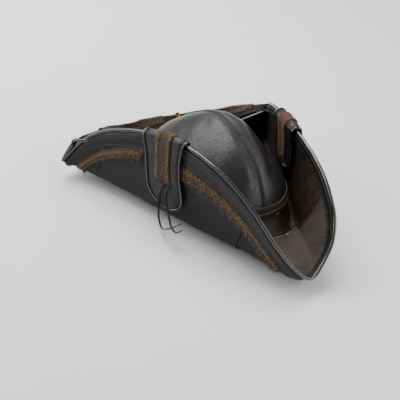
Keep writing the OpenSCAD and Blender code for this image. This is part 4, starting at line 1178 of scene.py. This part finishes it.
def tab(side, word):
    p = tab_steps(TAB_OUT, TAB_IN)
    n = 22
    q = np.linspace(-1, 1, n)
    soft = np.sqrt(np.maximum(0, 1 - np.abs(q) ** 8))
    qq = np.concatenate([q, q[::-1]]) * -side
    o = np.concatenate([0.5 + (TAB_T - 0.5) * soft, np.full(n, 0.0)])
    pp = np.broadcast_to(p[:, None], (len(p), 2 * n))
    half = tab_half(p)[:, None] * qq[None, :]
    puff = 0.5 * waves(tab_pt(side, pp, half, 0.0), 26, 71) * (1 - np.abs(qq[None, :]) ** 4)
    grid = tab_pt(side, pp, half, o[None, :] + puff * (o[None, :] > 0.4))
    wear_and_sheen = np.broadcast_to(np.abs(qq)[None, :] ** 10 * 0.8, grid.shape[:2])
    loft(word + "_tab", grid, mats=[STRAP], nodes=[word + "_tab"], wear_and_sheen=wear_and_sheen, sharp=60)

    # piping round the whole edge, as one closed roll
    def edge(v, sgn):
        return tab_pt(side, v, sgn * (tab_half(v) + PIPE_R + 0.2), TAB_T / 2)

    def end(whole, outer):
        t = np.linspace(1, -1, 26)
        v = whole if outer else -1 - whole
        shift = (PIPE_R + 0.2) * np.sqrt(1 - t * t * 0.6) * (1 if outer else -1)
        half = tab_half(np.full(26, float(v))) + (PIPE_R + 0.2) * 0.7
        return tab_pt(side, v + shift, t * half, TAB_T / 2)

    run = tab_steps(TAB_OUT - 1.2, TAB_IN - 1.2)
    path = np.concatenate([edge(run, 1), end(TAB_IN, False), edge(run[::-1], -1), end(TAB_OUT, True)[::-1]])
    path = resampled(path, 1.2)
    loft(word + "_tab_piping", carried(path, PIPE_R, 12), around=True, mats=[ROLL],
        nodes=[word + "_tab_piping"], sharp=80, wear_and_sheen=np.full((len(path), 12), 0.15))

    # braid over the middle, with a zigzag along each edge
    pv = tab_steps(TAB_BRAID_L, TAB_BRAID_L, 0.8)
    line = tab_pt(side, pv, np.zeros(len(pv)), TAB_T)
    run_mm = np.concatenate([[0], np.cumsum(length(np.diff(line, axis=0)))])

    def at(x, y, o):
        v = np.interp(x, run_mm, pv)
        a = (y - 0.5) * TAB_BRAID_W * -side
        here = tab_pt(side, v, a, TAB_T + o)
        up = unit(tab_pt(side, v, a, TAB_T + 1.0) - tab_pt(side, v, a, TAB_T))
        return here, up

    long = run_mm[-1]
    finish = BRAID if side < 0 else REDDISH
    joined(word + "_tab_braid", plait(at, long, TAB_BRAID_W, seed=150 + side), mats=[finish],
        nodes=[word + "_tab_braid"], sharp=80)
    x = np.arange(0, long, 1.5)
    yy = np.concatenate([np.linspace(0.03, 0.97, 8), np.linspace(0.97, 0.03, 8)])
    oo = np.concatenate([np.full(8, 0.6), np.full(8, 0.15)])
    xs = np.broadcast_to(x[:, None], (len(x), 16))
    back_grid, _ = at(xs, np.broadcast_to(yy, xs.shape), np.broadcast_to(oo, xs.shape))
    loft(word + "_tab_braid_backing", back_grid, mats=[finish], wear_and_sheen=np.zeros(xs.shape), sharp=60)
    threads = [zigzag_grid(at, long, y0, y1, 2.4, 3.2, 0.85) for y0, y1 in ((0.03, 0.24), (0.97, 0.76))]
    joined(word + "_tab_zigzags", threads, mats=[GOLD], nodes=[word + "_tab_zigzags"], sharp=80)
    threads = [zigzag_grid(at, long, y0, y1, 2.2, 3.2, 0.8, 1.0) for y0, y1 in ((0.04, 0.25), (0.96, 0.75))]
    joined(word + "_tab_zigzags_olive", threads, mats=[OLIVE], sharp=80)
    many(word + "_tab_frays",
        [end_frays(at, long, CUT_IN, 110, 160), end_frays(at, long, long - CUT_IN, 110, 161)],
        FRAY, finish, small=0.4, large=1.1, tilt=0.5, seed=5)

    # a line of stitches inside the edge
    run = tab_steps(TAB_OUT - 6, TAB_IN - 6, 1.0)
    rows = []
    for sgn in (-1, 1):
        a = sgn * (tab_half(run) - 3.2)
        here = tab_pt(side, run, a, TAB_T + 0.1)
        up = unit(tab_pt(side, run, a, TAB_T + 1.0) - tab_pt(side, run, a, TAB_T))
        k = evenly(here, 4.2)
        rows.append((pick(here, k), pick(unit(np.gradient(here, axis=0)), k), pick(up, k)))
    many(word + "_tab_stitches", rows, STITCH, DARK, seed=12)


def resampled(path, step):
    closed = np.concatenate([path, path[:1]])
    run = np.concatenate([[0], np.cumsum(length(np.diff(closed, axis=0)))])
    at = np.linspace(0, run[-1], int(run[-1] / step), endpoint=False)
    return np.stack([np.interp(at, run, closed[:, k]) for k in range(3)], -1)


def carried(path, r, sides):
    """A round roll along a closed path, its frame carried from point to point without twist."""
    n = len(path)
    t = unit(np.roll(path, -1, 0) - np.roll(path, 1, 0))
    u = unit(np.cross(t[0], [0.3, 0.2, 0.9]))
    us = []
    for k in range(n):
        u = unit(u - t[k] * (t[k] @ u))
        us.append(u)
    us = np.array(us)
    ws = np.cross(t, us)
    last = unit(us[-1] - t[0] * (t[0] @ us[-1]))
    lag = math.atan2(last @ ws[0], last @ us[0])
    turn = -lag * np.arange(n) / n
    a = np.linspace(0, 2 * np.pi, sides, endpoint=False)[None, :] + turn[:, None]
    return path[:, None, :] + r * (
        np.cos(a)[..., None] * us[:, None, :] + np.sin(a)[..., None] * ws[:, None, :])


tab(-1, "right")
tab(1, "left")


# ---- the stretch of lace through each tab and the brim ----
def lace(side, word):
    def hole(q, o):
        s = np.array(mirrored(tab_mid(LACE_DROP, side) - (LACE_AHEAD + q * LACE_PITCH / 2) / KNOT_L, side))
        v = below(s, LACE_DROP)
        return sec(s, v) + o * out_of(s, v)

    inner = -BRIM_T - TAB_GAP - TAB_T - LACE_D / 2 - 0.3
    face = TAB_GAP + TAB_T
    a, b = hole(-1, inner), hole(1, inner)
    rear, front = (sided(r, side)[0] for r in (REAR_TAIL, FRONT_TAIL))
    stop = lambda end, h: end + unit(h - end) * 0.4
    path = [stop(rear, hole(-1, face)), hole(-1, face), hole(-1, 0), hole(-1, inner + 2),
        a * 0.85 + b * 0.15,
        a * 0.15 + b * 0.85, hole(1, inner + 2), hole(1, 0), hole(1, face), stop(front, hole(1, face))]
    path = smooth(path, 8)
    loft(word + "_lace", tube_grid(path, np.array([0, 0.3, 1.0]), LACE_D, 2.0, 12), mats=[THONG],
        nodes=[word + "_lace"], wear_and_sheen=np.full((len(path), 12), 0.6), sharp=60)


lace(-1, "right")
lace(1, "left")

# ---- studio ----
floor = bpy.data.meshes.new("studio floor")
floor.from_pydata([(-6, -6, -0.034), (6, -6, -0.034), (6, 6, -0.034), (-6, 6, -0.034)], [], [(0, 1, 2, 3)])
ground = bpy.data.objects.new("studio floor", floor)
bpy.context.scene.collection.objects.link(ground)
white = bpy.data.materials.new("pale studio floor")
white.use_nodes = True
white.node_tree.nodes["Principled BSDF"].inputs["Base Color"].default_value = lin("#f2f2f2")
white.node_tree.nodes["Principled BSDF"].inputs["Roughness"].default_value = 0.9
floor.materials.append(white)
world = bpy.data.worlds.new("studio")
world.use_nodes = True
world.node_tree.nodes["Background"].inputs[0].default_value = lin("#ffffff")
world.node_tree.nodes["Background"].inputs[1].default_value = 0.55
bpy.context.scene.world = world


def softbox(name, place, size, watts):
    data = bpy.data.lights.new(name, "AREA")
    data.shape = "RECTANGLE"
    data.size, data.size_y = size
    data.energy = watts
    obj = bpy.data.objects.new(name, data)
    bpy.context.scene.collection.objects.link(obj)
    place = np.array(place, float)
    back = unit(place)
    x = unit(np.cross([0, 0, 1.0], back))
    y = np.cross(back, x)
    m = Matrix.Identity(4)
    for i in range(3):
        m[i][0], m[i][1], m[i][2], m[i][3] = x[i], y[i], back[i], place[i]
    obj.matrix_world = m


softbox("overhead softbox", TOP * 1.5 + BACK * 0.3 - RIGHT * 0.2, (1.4, 1.0), 36)
softbox("left softbox", -RIGHT * 1.4 + TOP * 0.7 + BACK * 0.5, (0.8, 1.2), 16)
softbox("right softbox", RIGHT * 1.5 + TOP * 0.3 + BACK * 0.4, (0.5, 1.3), 9)
